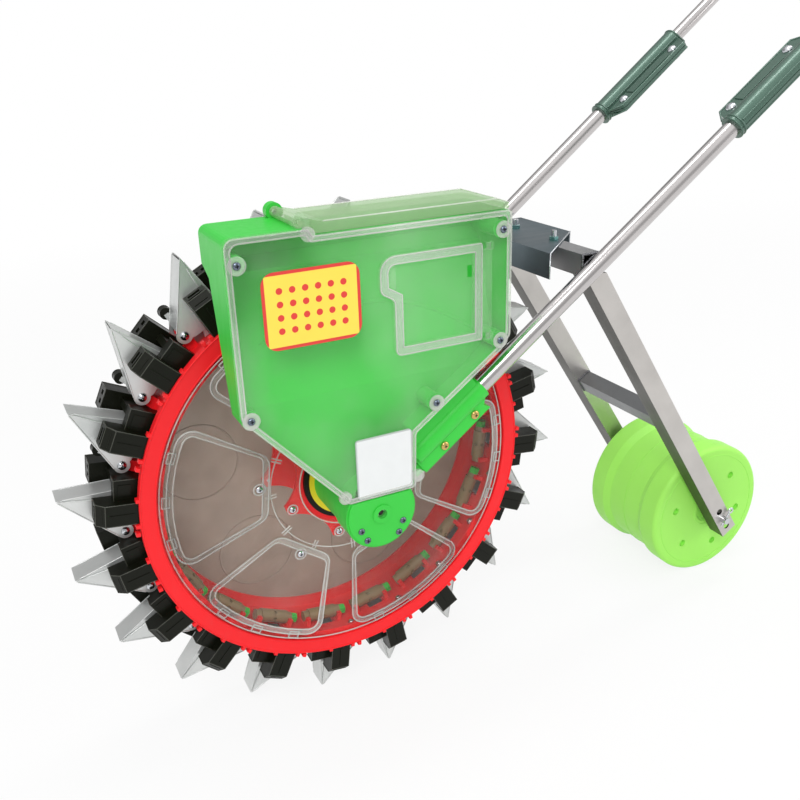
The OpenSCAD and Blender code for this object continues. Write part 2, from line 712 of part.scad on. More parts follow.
// Clean-out door: P-shaped panel with a raised band, finger slot and hinge pins
module cleanout_door() color(clear) in_frame() {
    difference() {
        union() {
            slab(-hopper_face - gap - door_t, -hopper_face - gap) door_shape(0);
            slab(-hopper_face - gap - door_t - 1.5, -hopper_face - gap - 0.5) difference() {
                door_shape(0);
                door_shape(8);
            }
            translate([0, 0, door_low + lug_h + gap]) {
                translate([door_right, door_axis_y, 0])
                    cylinder(r = door_barrel_r, h = door_high - door_low - 2 * lug_h - 2 * gap);
                box([door_right - 8, door_right], [door_axis_y - 1, door_axis_y + 1.7],
                    [0, door_high - door_low - 2 * lug_h - 2 * gap]);
            }
        }
        slab(-hopper_face - 20, 0) translate([door_right - 22, door_high - 32]) square([6, 12]);
    }
    translate([door_right, door_axis_y, door_low + 1])
        cylinder(r = door_pin_r, h = door_high - door_low - 2);
}

// Clear filler lid: a shallow tray with a rolled rear end and a hinge barrel
lid_near = -hopper_face + hopper_cover_t + 0.5;
lid_far = -hopper_back - 0.5;
lid_front = -50;
lid_points = [[lid_hinge_x, hopper_top + gap], [lid_front, hopper_top + gap], [lid_front, lid_z + gap],
              [hopper_rear - 1, lid_z + gap], [hopper_rear - 1, lid_z + 6], [hopper_rear - 12, lid_z + 10],
              [-40, lid_z + 10], [lid_hinge_x, lid_hinge_z + 4]];

module hopper_lid() color(clear) in_frame() {
    difference() {
        slab(lid_near, lid_far) polygon(lid_points);
        slab(lid_near + lid_t, lid_far - lid_t) polygon([
            [-44, lid_z - 1], [hopper_rear - 1 - lid_t, lid_z - 1], [hopper_rear - 1 - lid_t, lid_z + 5],
            [hopper_rear - 13, lid_z + 10 - lid_t], [-40, lid_z + 10 - lid_t]]);
        translate([lid_hinge_x, 0, lid_hinge_z]) rod_y(lid_barrel_r + 3 + gap, lid_far - 9.5, lid_far + 1);
    }
    translate([lid_hinge_x, 0, lid_hinge_z]) {
        rod_y(lid_barrel_r, lid_near, lid_far - 9.5 + gap);
        rod_y(lid_pin_r, -hopper_face + 0.5, -hopper_back - 1);
    }
}

// Screws of the hopper cover and the hub cap
module hopper_screws() color("#D5D8DC") in_frame() {
    for (b = boss_places) translate([b[0], -hopper_face - 2, b[1]]) dome_screw(3.6, 2.2, 1.9, 14);
    for (c = cap_screw_places) translate([c[0], -hopper_face - 4, c[1]]) dome_screw(3.6, 2.2, 1.9, 12);
}

// Handles

clamp_start = 62;
clamp_end = 165;
clamp_half = lower_tube_r + 3.5;
screw_stations = [95, 140];

// Height of the hopper's rear slope over the tube at distance t along it
function slope_over(t) =
    let (
        low = [hopper_points[2] * [cos(handle_slope), sin(handle_slope)],
               hopper_points[2] * [-sin(handle_slope), cos(handle_slope)]],
        high = [hopper_points[3] * [cos(handle_slope), sin(handle_slope)],
                hopper_points[3] * [-sin(handle_slope), cos(handle_slope)]]
    )
    low[1] + (t - low[0]) * (high[1] - low[1]) / (high[0] - low[0]) - gap;

// Lower edge of the clamps' screwed flange, and the front face of the near one
flange_low = -lower_tube_r - 14;
flange_front = 5 - clamp_half;
screw_low = -lower_tube_r - 6.5;

// Clamp that ties the near tube to the hopper's rear slope: round housing over a screwed flange
module clamp_near() color(green) on_handle(-1) difference() {
    union() {
        rod_x(clamp_half, clamp_start + 3, clamp_end);
        slab(flange_front, clamp_half - 2) polygon([
            [clamp_start, flange_low], [clamp_end - 7, flange_low], [clamp_end - 11, flange_low + 8],
            [clamp_end - 3, -8], [clamp_end - 3, slope_over(clamp_end - 3)],
            [clamp_start + 26, slope_over(clamp_start + 26)], [clamp_start, 0]]);
        box([clamp_start - 10, clamp_start + 1], [-4, clamp_half - 3], [flange_low + 1, flange_low + 13]);
    }
    rod_x(lower_tube_r + 0.02, clamp_start + 4, clamp_end + 9);
    for (t = screw_stations) translate([t, 0, screw_low]) rod_y(2.3, -30, 30);
}

// Arm on the far side that carries the axle's end and the far tube
module clamp_far() color(green) on_handle(1) difference() {
    slab(2 - clamp_half, clamp_half) union() {
        translate([-axle_r - 12, flange_low]) square([clamp_end + axle_r + 4, -flange_low]);
        translate([-axle_r - 12, -1]) square([clamp_end + axle_r + 12, lower_tube_r + 6]);
    }
    rod_x(lower_tube_r + 0.02, clamp_start + 4, clamp_end + 9);
    rotate([0, 0, -handle_splay]) rod_y(axle_r + 0.02, -40, 40);
    for (t = screw_stations) translate([t, 0, screw_low]) rod_y(2.3, -30, 30);
}

module clamp_screws() color("#C9A14A") for (s = [-1, 1]) on_handle(s) for (t = screw_stations)
    translate([t, s > 0 ? clamp_half : flange_front, screw_low]) rotate([0, 0, s > 0 ? 180 : 0])
        dome_screw(5, 3, 2.2, 2 * clamp_half - 9);

module tube(r, wall, t0, t1) difference() {
    rod_x(r, t0, t1);
    rod_x(r - wall, t0 - 1, t1 + 1);
}

module lower_tube(side) color(steel) on_handle(side)
    tube(lower_tube_r, tube_wall, clamp_start + 6, lower_end);

module lower_tube_near() lower_tube(-1);

module lower_tube_far() lower_tube(1);

bolt_r = 3;
bolt_spread = sleeve_len / 2 - 26;
sleeve_split = 0.4;

// Two half sleeves, upper and lower, with a flange towards the other handle
module sleeve(side) color("#1E5A3C") on_handle(side) for (h = [-1, 1]) difference() {
    union() {
        intersection() {
            rod_x(sleeve_r, sleeve_start, sleeve_end);
            box([0, handle_end], [-40, 40], h > 0 ? [sleeve_split, 40] : [-40, -sleeve_split]);
        }
        translate([0, 0, h > 0 ? sleeve_split : -flange_t]) linear_extrude(flange_t - sleeve_split)
            polygon(round_corners([[sleeve_start, 0], [sleeve_end, 0],
                [sleeve_end - 10, -side * (sleeve_r + flange_w)],
                [sleeve_start + 16, -side * (sleeve_r + flange_w)]], [1, 1, 6, 6]));
    }
    rod_x(lower_tube_r + 0.02, 0, lower_end + 2);
    rod_x(upper_tube_r + fit, lower_end, handle_end);
    for (s = [-1, 1]) translate([lower_end + s * bolt_spread, -side * (sleeve_r + flange_w / 2), 0])
        cylinder(r = bolt_r + 0.1, h = 60, center = true);
}

module sleeve_near() sleeve(-1);

module sleeve_far() sleeve(1);

// Dome-headed bolt with its nut, and the thread that stands out past the nut
module bolt_with_nut(length, spare = 4) {
    dome_screw(6, 4, bolt_r, length + spare);
    translate([0, length, 0]) rotate([-90, 0, 0]) cylinder(r = 5.5, h = 4, $fn = 6);
}

// Bolts of the sleeves and of the channel, and the cotter pins of the press wheel's axle
module frame_bolts() color(steel) {
    for (side = [-1, 1]) on_handle(side) for (s = [-1, 1])
        translate([lower_end + s * bolt_spread, -side * (sleeve_r + flange_w / 2), flange_t])
            rotate([-90, 0, 0]) bolt_with_nut(2 * flange_t);
    in_frame() for (y = channel_bolts) translate([crossbar_x, y, crossbar_z - bar / 2]) rotate([90, 0, 0])
        bolt_with_nut(channel_top - crossbar_z + bar / 2, 11);
    cotter_pins();
}

upper_start = sleeve_start + 4.5;

module upper_tube(side) color(steel) on_handle(side)
    tube(upper_tube_r, tube_wall, upper_start, handle_end - 8);

module upper_tube_near() upper_tube(-1);

module upper_tube_far() upper_tube(1);

module grip(side) color(black) on_handle(side) difference() {
    union() {
        rod_x(grip_r - 2, handle_end - grip_len, grip_tip);
        translate([grip_tip, 0, 0]) sphere(r = grip_r);
        for (i = [0:6]) translate([handle_end - grip_len + 4 + i * (grip_len - 40) / 6, 0, 0])
            rod_x(grip_r - 0.8, 0, 5);
        rod_x(grip_r + 0.1, handle_end - grip_len, handle_end - grip_len + 4);
    }
    rod_x(upper_tube_r + 0.02, 0, handle_end - 7.9);
}

module grip_near() grip(-1);

module grip_far() grip(1);

// Rear frame

// The channel's near end is cut aslant, from its front corner to its rear one
channel_near = -82;
channel_near_rear = -4;
channel_front = channel_w / 2;
channel_top = crossbar_z + bar / 2 + bar_wall + 0.02;
// The far leg reaches up inside the channel
far_leg_top = channel_top - bar_wall - 0.05;
channel_bolts = [-30, 46];
tube_far = leg_out - bar - 10;

module square_tube_y(width, wall, y0, y1) difference() {
    box([-width / 2, width / 2], [y0, y1], [-width / 2, width / 2]);
    box([wall - width / 2, width / 2 - wall], [y0 - 1, y1 + 1], [wall - width / 2, width / 2 - wall]);
}

module crossbar_tube() color(zinc) in_frame() difference() {
    translate([crossbar_x, 0, crossbar_z]) square_tube_y(bar, bar_wall, -leg_out, tube_far);
    for (y = channel_bolts) translate([crossbar_x, y, 0]) cylinder(r = bolt_r + 0.1, h = 600);
}

// Wide channel, open below, that takes the crossbar tube and the far leg
module crossbar_channel() color(zinc) in_frame() difference() {
    translate([crossbar_x - channel_front, 0, 0])
        box([0, channel_w], [channel_near, leg_out], [channel_top - bar - 2 * bar_wall, channel_top]);
    translate([crossbar_x - channel_front + bar_wall, 0, 0])
        box([0, channel_w - 2 * bar_wall], [channel_near - 1, leg_out + 1], [0, channel_top - bar_wall]);
    for (y = channel_bolts) translate([crossbar_x, y, 0]) cylinder(r = bolt_r + 0.1, h = 600);
    translate([crossbar_x, 0, 0]) linear_extrude(600) polygon([
        [-channel_front, channel_near], [channel_front, channel_near_rear],
        [channel_front + 1, channel_near - 2], [-channel_front, channel_near - 2]]);
}

// Along a leg from the crossbar: X down the leg
module on_leg() in_frame() translate([crossbar_x, 0, crossbar_z]) rotate([0, leg_slope, 0]) children();

module leg(y0, y1, top) color(steel) difference() {
    on_leg() difference() {
        box([-bar, leg_len + leg_tail], [y0, y1], [-bar / 2, bar / 2]);
        box([-bar - 1, leg_len + leg_tail + 1], [y0 + bar_wall, y1 - bar_wall],
            [bar_wall - bar / 2, bar / 2 - bar_wall]);
        for (i = [-1:1]) translate([leg_len + i * hole_step, 0, 0])
            rod_y(press_axle_r + fit, y0 - 1, y1 + 1);
    }
    in_frame() box([0, 700], [y0 - 1, y1 + 1], [top, top + 300]);
}

module leg_near() leg(-leg_out, -leg_in, crossbar_z - bar / 2 - 0.02);

module leg_far() leg(leg_in, leg_out, far_leg_top);

// Lower brace that stands between the two legs
module leg_brace() color(steel) on_leg() translate([leg_len - brace_up, 0, 0])
    square_tube_y(bar - 4, bar_wall, fit - leg_in, leg_in - fit);

press_wall = 4;
press_half = press_w / 2;
press_barrel = press_r - press_step;
press_round = 6;
hub_recess_r = 14;
bush_len = 24;

// Half of the press wheel's outline, from the hub recess on one face to the middle of the barrel
function press_half_outline(s) = concat(
    [[press_axle_r + fit, s * (press_half - press_round)], [hub_recess_r, s * (press_half - press_round)],
     [hub_recess_r + 4, s * press_half], [press_r - press_round, s * press_half]],
    [for (a = [15:15:90])
        [press_r - press_round * (1 - sin(a)), s * (press_half - press_round * (1 - cos(a)))]],
    [[press_r, s * (press_half - press_rim_w + 6)], [press_barrel + 2, s * (press_half - press_rim_w)],
     [press_barrel, s * (press_half - press_rim_w - 4)]]);

function backwards(p) = [for (i = [len(p) - 1:-1:0]) p[i]];

// Hollow moulded press wheel: stepped rims, a bush at each end and shallow dimples in the faces
module press_wheel() color("#A6EE6A") in_frame() translate([press_x, 0, press_z]) difference() {
    turned() polygon(concat(press_half_outline(-1), backwards(press_half_outline(1))));
    turned() polygon([
        [0, bush_len - press_half], [hub_recess_r, bush_len - press_half],
        [hub_recess_r, press_wall + press_round - press_half],
        [hub_recess_r + 10, press_wall + press_round - press_half],
        [press_barrel - press_wall, press_wall + press_round - press_half],
        [press_barrel - press_wall, press_half - press_wall - press_round],
        [hub_recess_r, press_half - press_wall - press_round],
        [hub_recess_r, press_half - bush_len], [0, press_half - bush_len]]);
    for (a = [0:60:300], s = [-1, 1]) rotate([0, a + 12, 0]) translate([press_r * 0.62, s * press_half, 0])
        rod_y(5, -5, 5);
}

pin_r = 1.3;
press_axle_end = leg_out + 8;

module press_axle() color(steel) in_frame() translate([press_x, 0, press_z]) difference() {
    rod_y(press_axle_r, -press_axle_end, press_axle_end);
    for (s = [-1, 1]) translate([0, s * (leg_out + 3.5), 0]) rotate([0, 35, 0])
        cylinder(r = pin_r + 0.05, h = 30, center = true);
}

// Cotter pins that hold the press wheel's axle in the legs
module cotter_pins() in_frame() translate([press_x, 0, press_z])
    for (s = [-1, 1]) translate([0, s * (leg_out + 3.5), 0]) rotate([0, 35, 0]) {
        translate([0, 0, -9]) cylinder(r = pin_r, h = 22);
        translate([0, 0, 15]) rotate([90, 0, 0]) rotate_extrude() translate([3.2, 0]) circle(r = pin_r);
    }

rim_drum();
wheel_cover_near();
wheel_cover_far();
cover_windows();
hub_star_near();
hub_star_far();
hub_sleeve();
inlet_ring();
beak_fixed_halves();
mouth_blocks();
beak_pivot_screws();
beak_springs();
metering_rollers();
wheel_screws();
for (k = [1:stations]) beak_moving(k);
axle();
hopper_shell();
hopper_cover();
hopper_lid();
cleanout_door();
hub_cap();
hopper_screws();
clamp_near();
clamp_far();
clamp_screws();
lower_tube_near();
lower_tube_far();
sleeve_near();
sleeve_far();
frame_bolts();
upper_tube_near();
upper_tube_far();
grip_near();
grip_far();
crossbar_tube();
crossbar_channel();
leg_near();
leg_far();
leg_brace();
press_wheel();
press_axle();
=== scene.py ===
import bpy
import bmesh
import json
import math
from mathutils import Matrix, Vector


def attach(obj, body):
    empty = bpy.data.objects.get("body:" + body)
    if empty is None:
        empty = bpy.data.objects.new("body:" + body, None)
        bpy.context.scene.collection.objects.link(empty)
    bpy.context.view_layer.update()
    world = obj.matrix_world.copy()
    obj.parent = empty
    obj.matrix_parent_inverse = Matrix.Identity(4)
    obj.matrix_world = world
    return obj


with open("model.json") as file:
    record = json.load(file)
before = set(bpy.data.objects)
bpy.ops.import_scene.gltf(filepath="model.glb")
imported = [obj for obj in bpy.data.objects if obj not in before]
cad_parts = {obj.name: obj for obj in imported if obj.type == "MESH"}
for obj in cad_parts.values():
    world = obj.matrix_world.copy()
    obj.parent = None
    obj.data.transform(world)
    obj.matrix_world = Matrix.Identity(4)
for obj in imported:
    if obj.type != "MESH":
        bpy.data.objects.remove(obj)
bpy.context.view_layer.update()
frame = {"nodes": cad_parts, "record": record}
nodes = frame["nodes"]
jointOf = {j["name"]: j for j in frame["record"]["behaviour"]["joints"]}
mm = 0.001

# the frame leans a little so that the press wheel stands on the floor
axle = Vector(jointOf["wheel_spin"]["pos_m"])
pressAxle = Vector(jointOf["press_wheel_spin"]["pos_m"])
doorAxis = jointOf["door_hinge"]["axis"]
lean = math.atan2(doorAxis[0], doorAxis[2])
leanTurn = Matrix.Rotation(lean, 4, "Y")
frameTurn = Matrix.Translation(axle) @ leanTurn
stationSpec = {"count": 20, "first": 261.0, "knobFrom": 15.3, "knob": (244.0, 41.0, 6.2),
               "rollerMiddle": 1.0, "rollerKnobFrom": 21.9}


def onFrame(x, y, z):
    return frameTurn @ (Vector((x, y, z)) * mm)


# turn of station k: X outward, Z ahead along the rim
def stationTurn(k):
    angle = math.radians(stationSpec["first"] + k * 360 / stationSpec["count"])
    return Matrix.Translation(axle) @ Matrix.Rotation(-angle, 4, "Y")


print("frame loaded, lean", round(math.degrees(lean), 2))

# camera, in millimetres from the axle with the hopper upright
cameraSpec = {"place": (-321.55, -834.08, 442.47), "yaw": 26.2696, "pitch": 22.6216, "roll": -1.8893,
              "focalPx": 887.06, "imagePx": 800, "sensor": 36.0}


def makeCamera(spec):
    yaw, pitch, roll = (math.radians(spec[k]) for k in ("yaw", "pitch", "roll"))
    ahead = Vector((math.sin(yaw) * math.cos(pitch), math.cos(yaw) * math.cos(pitch), -math.sin(pitch)))
    flat = ahead.cross(Vector((0, 0, 1))).normalized()
    high = flat.cross(ahead)
    right = flat * math.cos(roll) + high * math.sin(roll)
    up = high * math.cos(roll) - flat * math.sin(roll)
    turn = Matrix((right, up, -ahead)).transposed().to_4x4()
    data = bpy.data.cameras.new("camera")
    data.sensor_fit = "HORIZONTAL"
    data.sensor_width = spec["sensor"]
    data.lens = spec["focalPx"] / spec["imagePx"] * spec["sensor"]
    data.clip_end = 100
    camera = bpy.data.objects.new("camera", data)
    camera.matrix_world = Matrix.Translation(onFrame(*spec["place"])) @ leanTurn @ turn
    bpy.context.scene.collection.objects.link(camera)
    bpy.context.scene.camera = camera


makeCamera(cameraSpec)


# node sums written as plain expressions
class Val:
    def __init__(self, net, socket):
        self.net = net
        self.socket = socket

    def sum(self, operation, a, b=None):
        sockets = {0: a} if b is None else {0: a, 1: b}
        return self.net.node("ShaderNodeMath", {"operation": operation}, sockets)

    def __add__(self, o): return self.sum("ADD", self, o)
    def __radd__(self, o): return self.sum("ADD", o, self)
    def __sub__(self, o): return self.sum("SUBTRACT", self, o)
    def __rsub__(self, o): return self.sum("SUBTRACT", o, self)
    def __mul__(self, o): return self.sum("MULTIPLY", self, o)
    def __rmul__(self, o): return self.sum("MULTIPLY", o, self)
    def __pow__(self, o): return self.sum("POWER", self, o)
    def __gt__(self, o): return self.sum("GREATER_THAN", self, o)
    def __lt__(self, o): return self.sum("LESS_THAN", self, o)
    def size(self): return self.sum("ABSOLUTE", self)

    def ramp(self, start, end):
        return self.net.node("ShaderNodeMapRange", None, {"Value": self, "From Min": start, "From Max": end})


class Net:
    def node(self, kind, settings=None, sockets=None, out=0):
        made = self.tree.nodes.new(kind)
        for key, value in (settings or {}).items():
            setattr(made, key, value)
        for key, value in (sockets or {}).items():
            if isinstance(value, Val):
                self.tree.links.new(value.socket, made.inputs[key])
            else:
                made.inputs[key].default_value = value
        return Val(self, made.outputs[out])

    def parts(self, vector):
        split = self.tree.nodes.new("ShaderNodeSeparateXYZ")
        self.tree.links.new(vector.socket, split.inputs[0])
        return [Val(self, socket) for socket in split.outputs]


class Finish(Net):
    def __init__(self, name):
        self.mat = bpy.data.materials.new(name)
        self.mat.use_nodes = True
        self.tree = self.mat.node_tree
        self.tree.nodes.clear()
        self.out = self.tree.nodes.new("ShaderNodeOutputMaterial")

    def place(self, stretch=(1, 1, 1), turn=(0, 0, 0), shift=(0, 0, 0)):
        spot = self.node("ShaderNodeTexCoord", out="Object")
        turned = self.node("ShaderNodeMapping", None, {"Vector": spot, "Location": shift, "Rotation": turn})
        return self.node("ShaderNodeMapping", None, {"Vector": turned, "Scale": stretch})

    def noise(self, scale, detail=3, stretch=(1, 1, 1), turn=(0, 0, 0)):
        return self.node("ShaderNodeTexNoise", None,
                         {"Vector": self.place(stretch, turn), "Scale": scale, "Detail": detail}, "Fac")

    def blend(self, amount, a, b):
        return self.node("ShaderNodeMix", {"data_type": "RGBA"}, {0: amount, 6: a, 7: b}, 2)

    def bump(self, height, strength, distance=0.0005):
        return self.node("ShaderNodeBump", None,
                         {"Height": height, "Strength": strength, "Distance": distance})

    def surface(self, sockets):
        return self.node("ShaderNodeBsdfPrincipled", None, sockets)

    def done(self, shader):
        self.tree.links.new(shader.socket, self.out.inputs["Surface"])
        return self.mat


def rgba(colour, gain=1.0):
    return tuple(min(1.0, c * gain) for c in colour) + (1.0,)


# moulded or painted face: soft clouding, fine grain and pale scuffs
def mouldedPlastic(name, colour, rough=0.38, grain=1200, mottle=0.08, coat=0.0, shine=0.5, scratch=0.18,
                   metal=0.0, bumpy=0.03):
    f = Finish(name)
    cloud = f.noise(9, 4)
    scuff = f.noise(150, 6, (1, 1, 0.3))
    tint = f.blend(cloud, rgba(colour, 1 - mottle), rgba(colour, 1 + mottle))
    return f.done(f.surface({
        "Base Color": f.blend(scuff ** 7, tint, rgba([c * 0.7 + scratch for c in colour])),
        "Roughness": rough + (scuff - 0.5) * 0.22 + (cloud - 0.5) * 0.12,
        "Metallic": metal,
        "Specular IOR Level": shine,
        "Coat Weight": coat,
        "Normal": f.bump(f.noise(grain, 2), bumpy)}))


# bright drawn steel with streaks along its length
def brushedTube(name, colour, turn, rough=0.2):
    f = Finish(name)
    streak = f.noise(60, 6, (0.02, 1, 1), turn)
    stain = f.noise(14, 4)
    return f.done(f.surface({
        "Base Color": f.blend(stain, rgba(colour, 0.86), rgba(colour, 1.04)),
        "Metallic": 1.0,
        "Roughness": rough + (streak - 0.5) * 0.2 + (stain - 0.5) * 0.1,
        "Normal": f.bump(streak, 0.015, 0.0002)}))


# plated sheet: soft clouding, fine rolling lines and darker grime
def platedSheet(name, colour, rough=0.3, turn=(0, 0, 0), tarnish=0.6, stain=None, metal=0.95):
    f = Finish(name)
    cloud = f.noise(26, 3)
    line = f.noise(90, 5, (0.04, 1, 1), turn)
    grime = f.noise(19, 6)
    tint = f.blend(cloud, rgba(colour, 0.84), rgba(colour, 1.08))
    return f.done(f.surface({
        "Base Color": f.blend((grime ** 4) * tarnish, tint,
                              rgba(stain or colour, 1.0 if stain else 0.5)),
        "Metallic": metal,
        "Roughness": rough + (line - 0.5) * 0.2 + (grime - 0.5) * 0.24,
        "Normal": f.bump(line, 0.06, 0.0002)}))


# see-through moulding: clear face on, whiter where it is seen edge on
def clearPlastic(name, tint, body, least=0.06, edgeGain=0.6, rough=0.05, mottle=0.05, haze=0.0):
    f = Finish(name)
    smear = f.noise(22, 5)
    mist = f.noise(7, 6, (1, 1, 0.6)).ramp(0.42, 0.72)
    cloud = f.blend(f.noise(38, 8), rgba(body, 1 - mottle), rgba(body, 1 + mottle))
    edge = f.node("ShaderNodeLayerWeight", None, {"Blend": 0.3}, "Facing")
    gloss = f.surface({"Base Color": cloud, "Roughness": rough + smear * 0.12,
                       "Normal": f.bump(f.noise(35, 2), 0.05, 0.001)})
    through = f.node("ShaderNodeBsdfTransparent", None, {"Color": rgba(tint)})
    amount = least + (edge ** 3) * edgeGain + (smear ** 5) * 0.2 + mist * haze
    return f.done(f.node("ShaderNodeMixShader", None, {0: amount, 1: through, 2: gloss}))


# sheet label: plain field inside a coloured border, with a grid of dots
def dottedLabel(name, spec):
    f = Finish(name)
    px, y, pz = onFrame(spec["middle"][0], 0, spec["middle"][1])
    x, y, z = f.parts(f.place((1 / mm, 1 / mm, 1 / mm), shift=(-px, 0, -pz)))
    across = x * math.cos(lean) - z * math.sin(lean)
    high = x * math.sin(lean) + z * math.cos(lean)
    u, v = across.size(), high.size()
    halfU, halfV = spec["half"]
    border = (u > halfU - spec["border"]) + (v > halfV - spec["border"])
    pitch = spec["pitch"]
    cellX = f.node("ShaderNodeMath", {"operation": "PINGPONG"}, {0: across, 1: pitch}) - pitch / 2
    cellZ = f.node("ShaderNodeMath", {"operation": "PINGPONG"}, {0: high, 1: pitch}) - pitch / 2
    dot = (cellX * cellX + cellZ * cellZ) < spec["dot"] ** 2
    inside = (u < halfU - spec["border"] * 3) * (v < halfV - spec["border"] * 3)
    ink = f.node("ShaderNodeMath", {"operation": "ADD", "use_clamp": True}, {0: border, 1: dot * inside})
    wear = f.noise(60, 5)
    paper = f.blend(wear, rgba(spec["paper"], 0.94), rgba(spec["paper"], 1.02))
    return f.done(f.surface({"Base Color": f.blend(ink, paper, rgba(spec["ink"])),
                             "Roughness": 0.32 + (wear - 0.5) * 0.2,
                             "Normal": f.bump(f.noise(240, 2), 0.04)}))


handleAxis = jointOf["handle_near_slide"]["axis"]
handleTurn = (0, math.atan2(handleAxis[2], handleAxis[0]), 0)
legDown = 59.3
legTurn = (0, -math.radians(legDown), 0)
finishes = {
    "green": mouldedPlastic("grassGreen", (0.05, 0.6, 0.065), 0.36, 2600, shine=0.22, scratch=0.06,
                            bumpy=0.006),
    "red": mouldedPlastic("signalRed", (0.95, 0.018, 0.024), 0.36, shine=0.22, scratch=0.08),
    "black": mouldedPlastic("blockBlack", (0.006, 0.0068, 0.0034), 0.34, 700, shine=0.16, scratch=0.012),
    # lighter black for the block edges: partly wear, partly painted highlight
    "blackEdgeWearAndSheen": mouldedPlastic("blockEdge", (0.05, 0.052, 0.04), 0.25, 700, shine=0.4, scratch=0.05),
    "lime": mouldedPlastic("limeGreen", (0.37, 0.86, 0.13), 0.42, shine=0.25),
    "darkGreen": mouldedPlastic("sleeveGreen", (0.055, 0.125, 0.09), 0.38, 90, coat=0.5, metal=0.5, shine=0.8,
                                scratch=0.03),
    "yellow": mouldedPlastic("bearingYellow", (0.9, 0.66, 0.02), 0.4, shine=0.3),
    "olive": mouldedPlastic("rollerOlive", (0.3, 0.22, 0.11), 0.4, shine=0.3),
    "pale": mouldedPlastic("sleevePale", (0.62, 0.62, 0.58), 0.45),
    "rubber": mouldedPlastic("gripRubber", (0.012, 0.012, 0.013), 0.62, 500, shine=0.3, scratch=0.03),
    # near-black for slot and recess marks: painted shade
    "shadow": mouldedPlastic("recessPaintedShade", (0.01, 0.01, 0.012), 0.6, shine=0.1, scratch=0.0),
    "tube": brushedTube("handleTube", (0.6, 0.575, 0.57), handleTurn, 0.2),
    "beak": platedSheet("beakZinc", (0.7, 0.71, 0.7), 0.36, stain=(0.1, 0.18, 0.17), metal=0.6),
    "frameZinc": platedSheet("crossbarZinc", (0.14, 0.18, 0.2), 0.42),
    "leg": platedSheet("legSteel", (0.6, 0.575, 0.55), 0.36, legTurn),
    # darker steel for the legs' narrow faces: painted shade
    "legSideShade": platedSheet("legSidePaintedShade", (0.11, 0.107, 0.097), 0.4, legTurn),
    "barSteel": platedSheet("barSteel", (0.42, 0.42, 0.425), 0.4),
    "brace": platedSheet("braceSteel", (0.22, 0.225, 0.23), 0.36),
    "weld": platedSheet("weldSteel", (0.15, 0.15, 0.16), 0.45),
    "tealZinc": platedSheet("tealZinc", (0.2, 0.42, 0.4), 0.26),
    "screw": brushedTube("screwPlate", (0.62, 0.64, 0.67), (0, 0, 0), 0.16),
    "darkScrew": brushedTube("screwDark", (0.16, 0.19, 0.24), (0, 0, 0), 0.2),
    "brass": brushedTube("screwBrass", (0.66, 0.46, 0.16), (0, 0, 0), 0.24),
    "clear": clearPlastic("clearFront", (0.985, 0.995, 0.985), (0.62, 0.93, 0.6), 0.04, 0.5, haze=0.17),
    # whitish finish for the clear mouldings: painted highlight along rib tops and edges, partly frosted plastic
    # on the bosses
    "ribHighlightAndFrost": clearPlastic("ribHighlightAndFrost", (0.97, 0.97, 0.96), (0.9, 0.89, 0.87), 0.2, 0.6, haze=0.35),
    "milky": clearPlastic("milkyRim", (0.97, 0.98, 0.96), (0.84, 0.87, 0.83), 0.12, 0.4, 0.1, haze=0.2),
    "ribMist": clearPlastic("ribMist", (0.98, 0.97, 0.96), (0.8, 0.77, 0.74), 0.03, 0.4, 0.08, haze=0.25),
    "frosted": clearPlastic("frostedLid", (0.86, 0.94, 0.84), (0.46, 0.64, 0.38), 0.38, 0.3, 0.25),
    "smoky": clearPlastic("clearCover", (0.985, 0.98, 0.975), (0.7, 0.66, 0.62), 0.03, 0.45),
    "farSmoky": clearPlastic("greyCover", (0.66, 0.58, 0.52), (0.5, 0.4, 0.335), 0.72, 0.2, 0.3, 0.3),
    "greyRib": clearPlastic("greyRib", (0.7, 0.62, 0.56), (0.6, 0.5, 0.43), 0.6, 0.3, 0.3)}

finishOf = {
    "rim_drum": "red", "wheel_cover_near": "smoky", "wheel_cover_far": "farSmoky", "cover_windows": "smoky",
    "hub_star_near": "red", "hub_star_far": "red", "hub_sleeve": "pale", "inlet_ring": "yellow",
    "beak_fixed_halves": "beak", "mouth_blocks": "black", "beak_pivot_screws": "screw",
    "beak_springs": "frameZinc", "metering_rollers": "olive", "wheel_screws": "screw", "axle": "tube",
    "hopper_shell": "green", "hopper_cover": "clear", "hopper_lid": "frosted", "cleanout_door": "clear",
    "hub_cap": "green", "hopper_screws": "darkScrew", "clamp_near": "green", "clamp_far": "green",
    "clamp_screws": "brass", "lower_tube_near": "tube", "lower_tube_far": "tube", "sleeve_near": "darkGreen",
    "sleeve_far": "darkGreen", "frame_bolts": "screw", "upper_tube_near": "tube", "upper_tube_far": "tube",
    "grip_near": "rubber", "grip_far": "rubber", "crossbar_tube": "barSteel", "crossbar_channel": "frameZinc",
    "leg_near": "leg", "leg_far": "leg", "leg_brace": "brace", "press_wheel": "lime", "press_axle": "screw"}


# a second finish on the faces that a test picks out
def paintFaces(node, finish, test):
    mesh = nodes[node].data
    mesh.materials.append(finishes[finish])
    for face in mesh.polygons:
        if test(face.center, face.normal):
            face.material_index = 1


def alongRim(point):
    x, z = point.x - axle.x, point.z - axle.z
    step = 360 / stationSpec["count"]
    angle = math.degrees(math.atan2(z, x)) - stationSpec["first"]
    a = math.radians(stationSpec["first"] + round((angle - stationSpec["rollerMiddle"]) / step) * step)
    return z * math.cos(a) - x * math.sin(a)


def fromAxle(point):
    return math.hypot(point.x - axle.x, point.z - axle.z) / mm


def onKnob(point):
    r, t, size = stationSpec["knob"]
    return math.hypot(point.x / mm - r, point.z / mm - t) < size


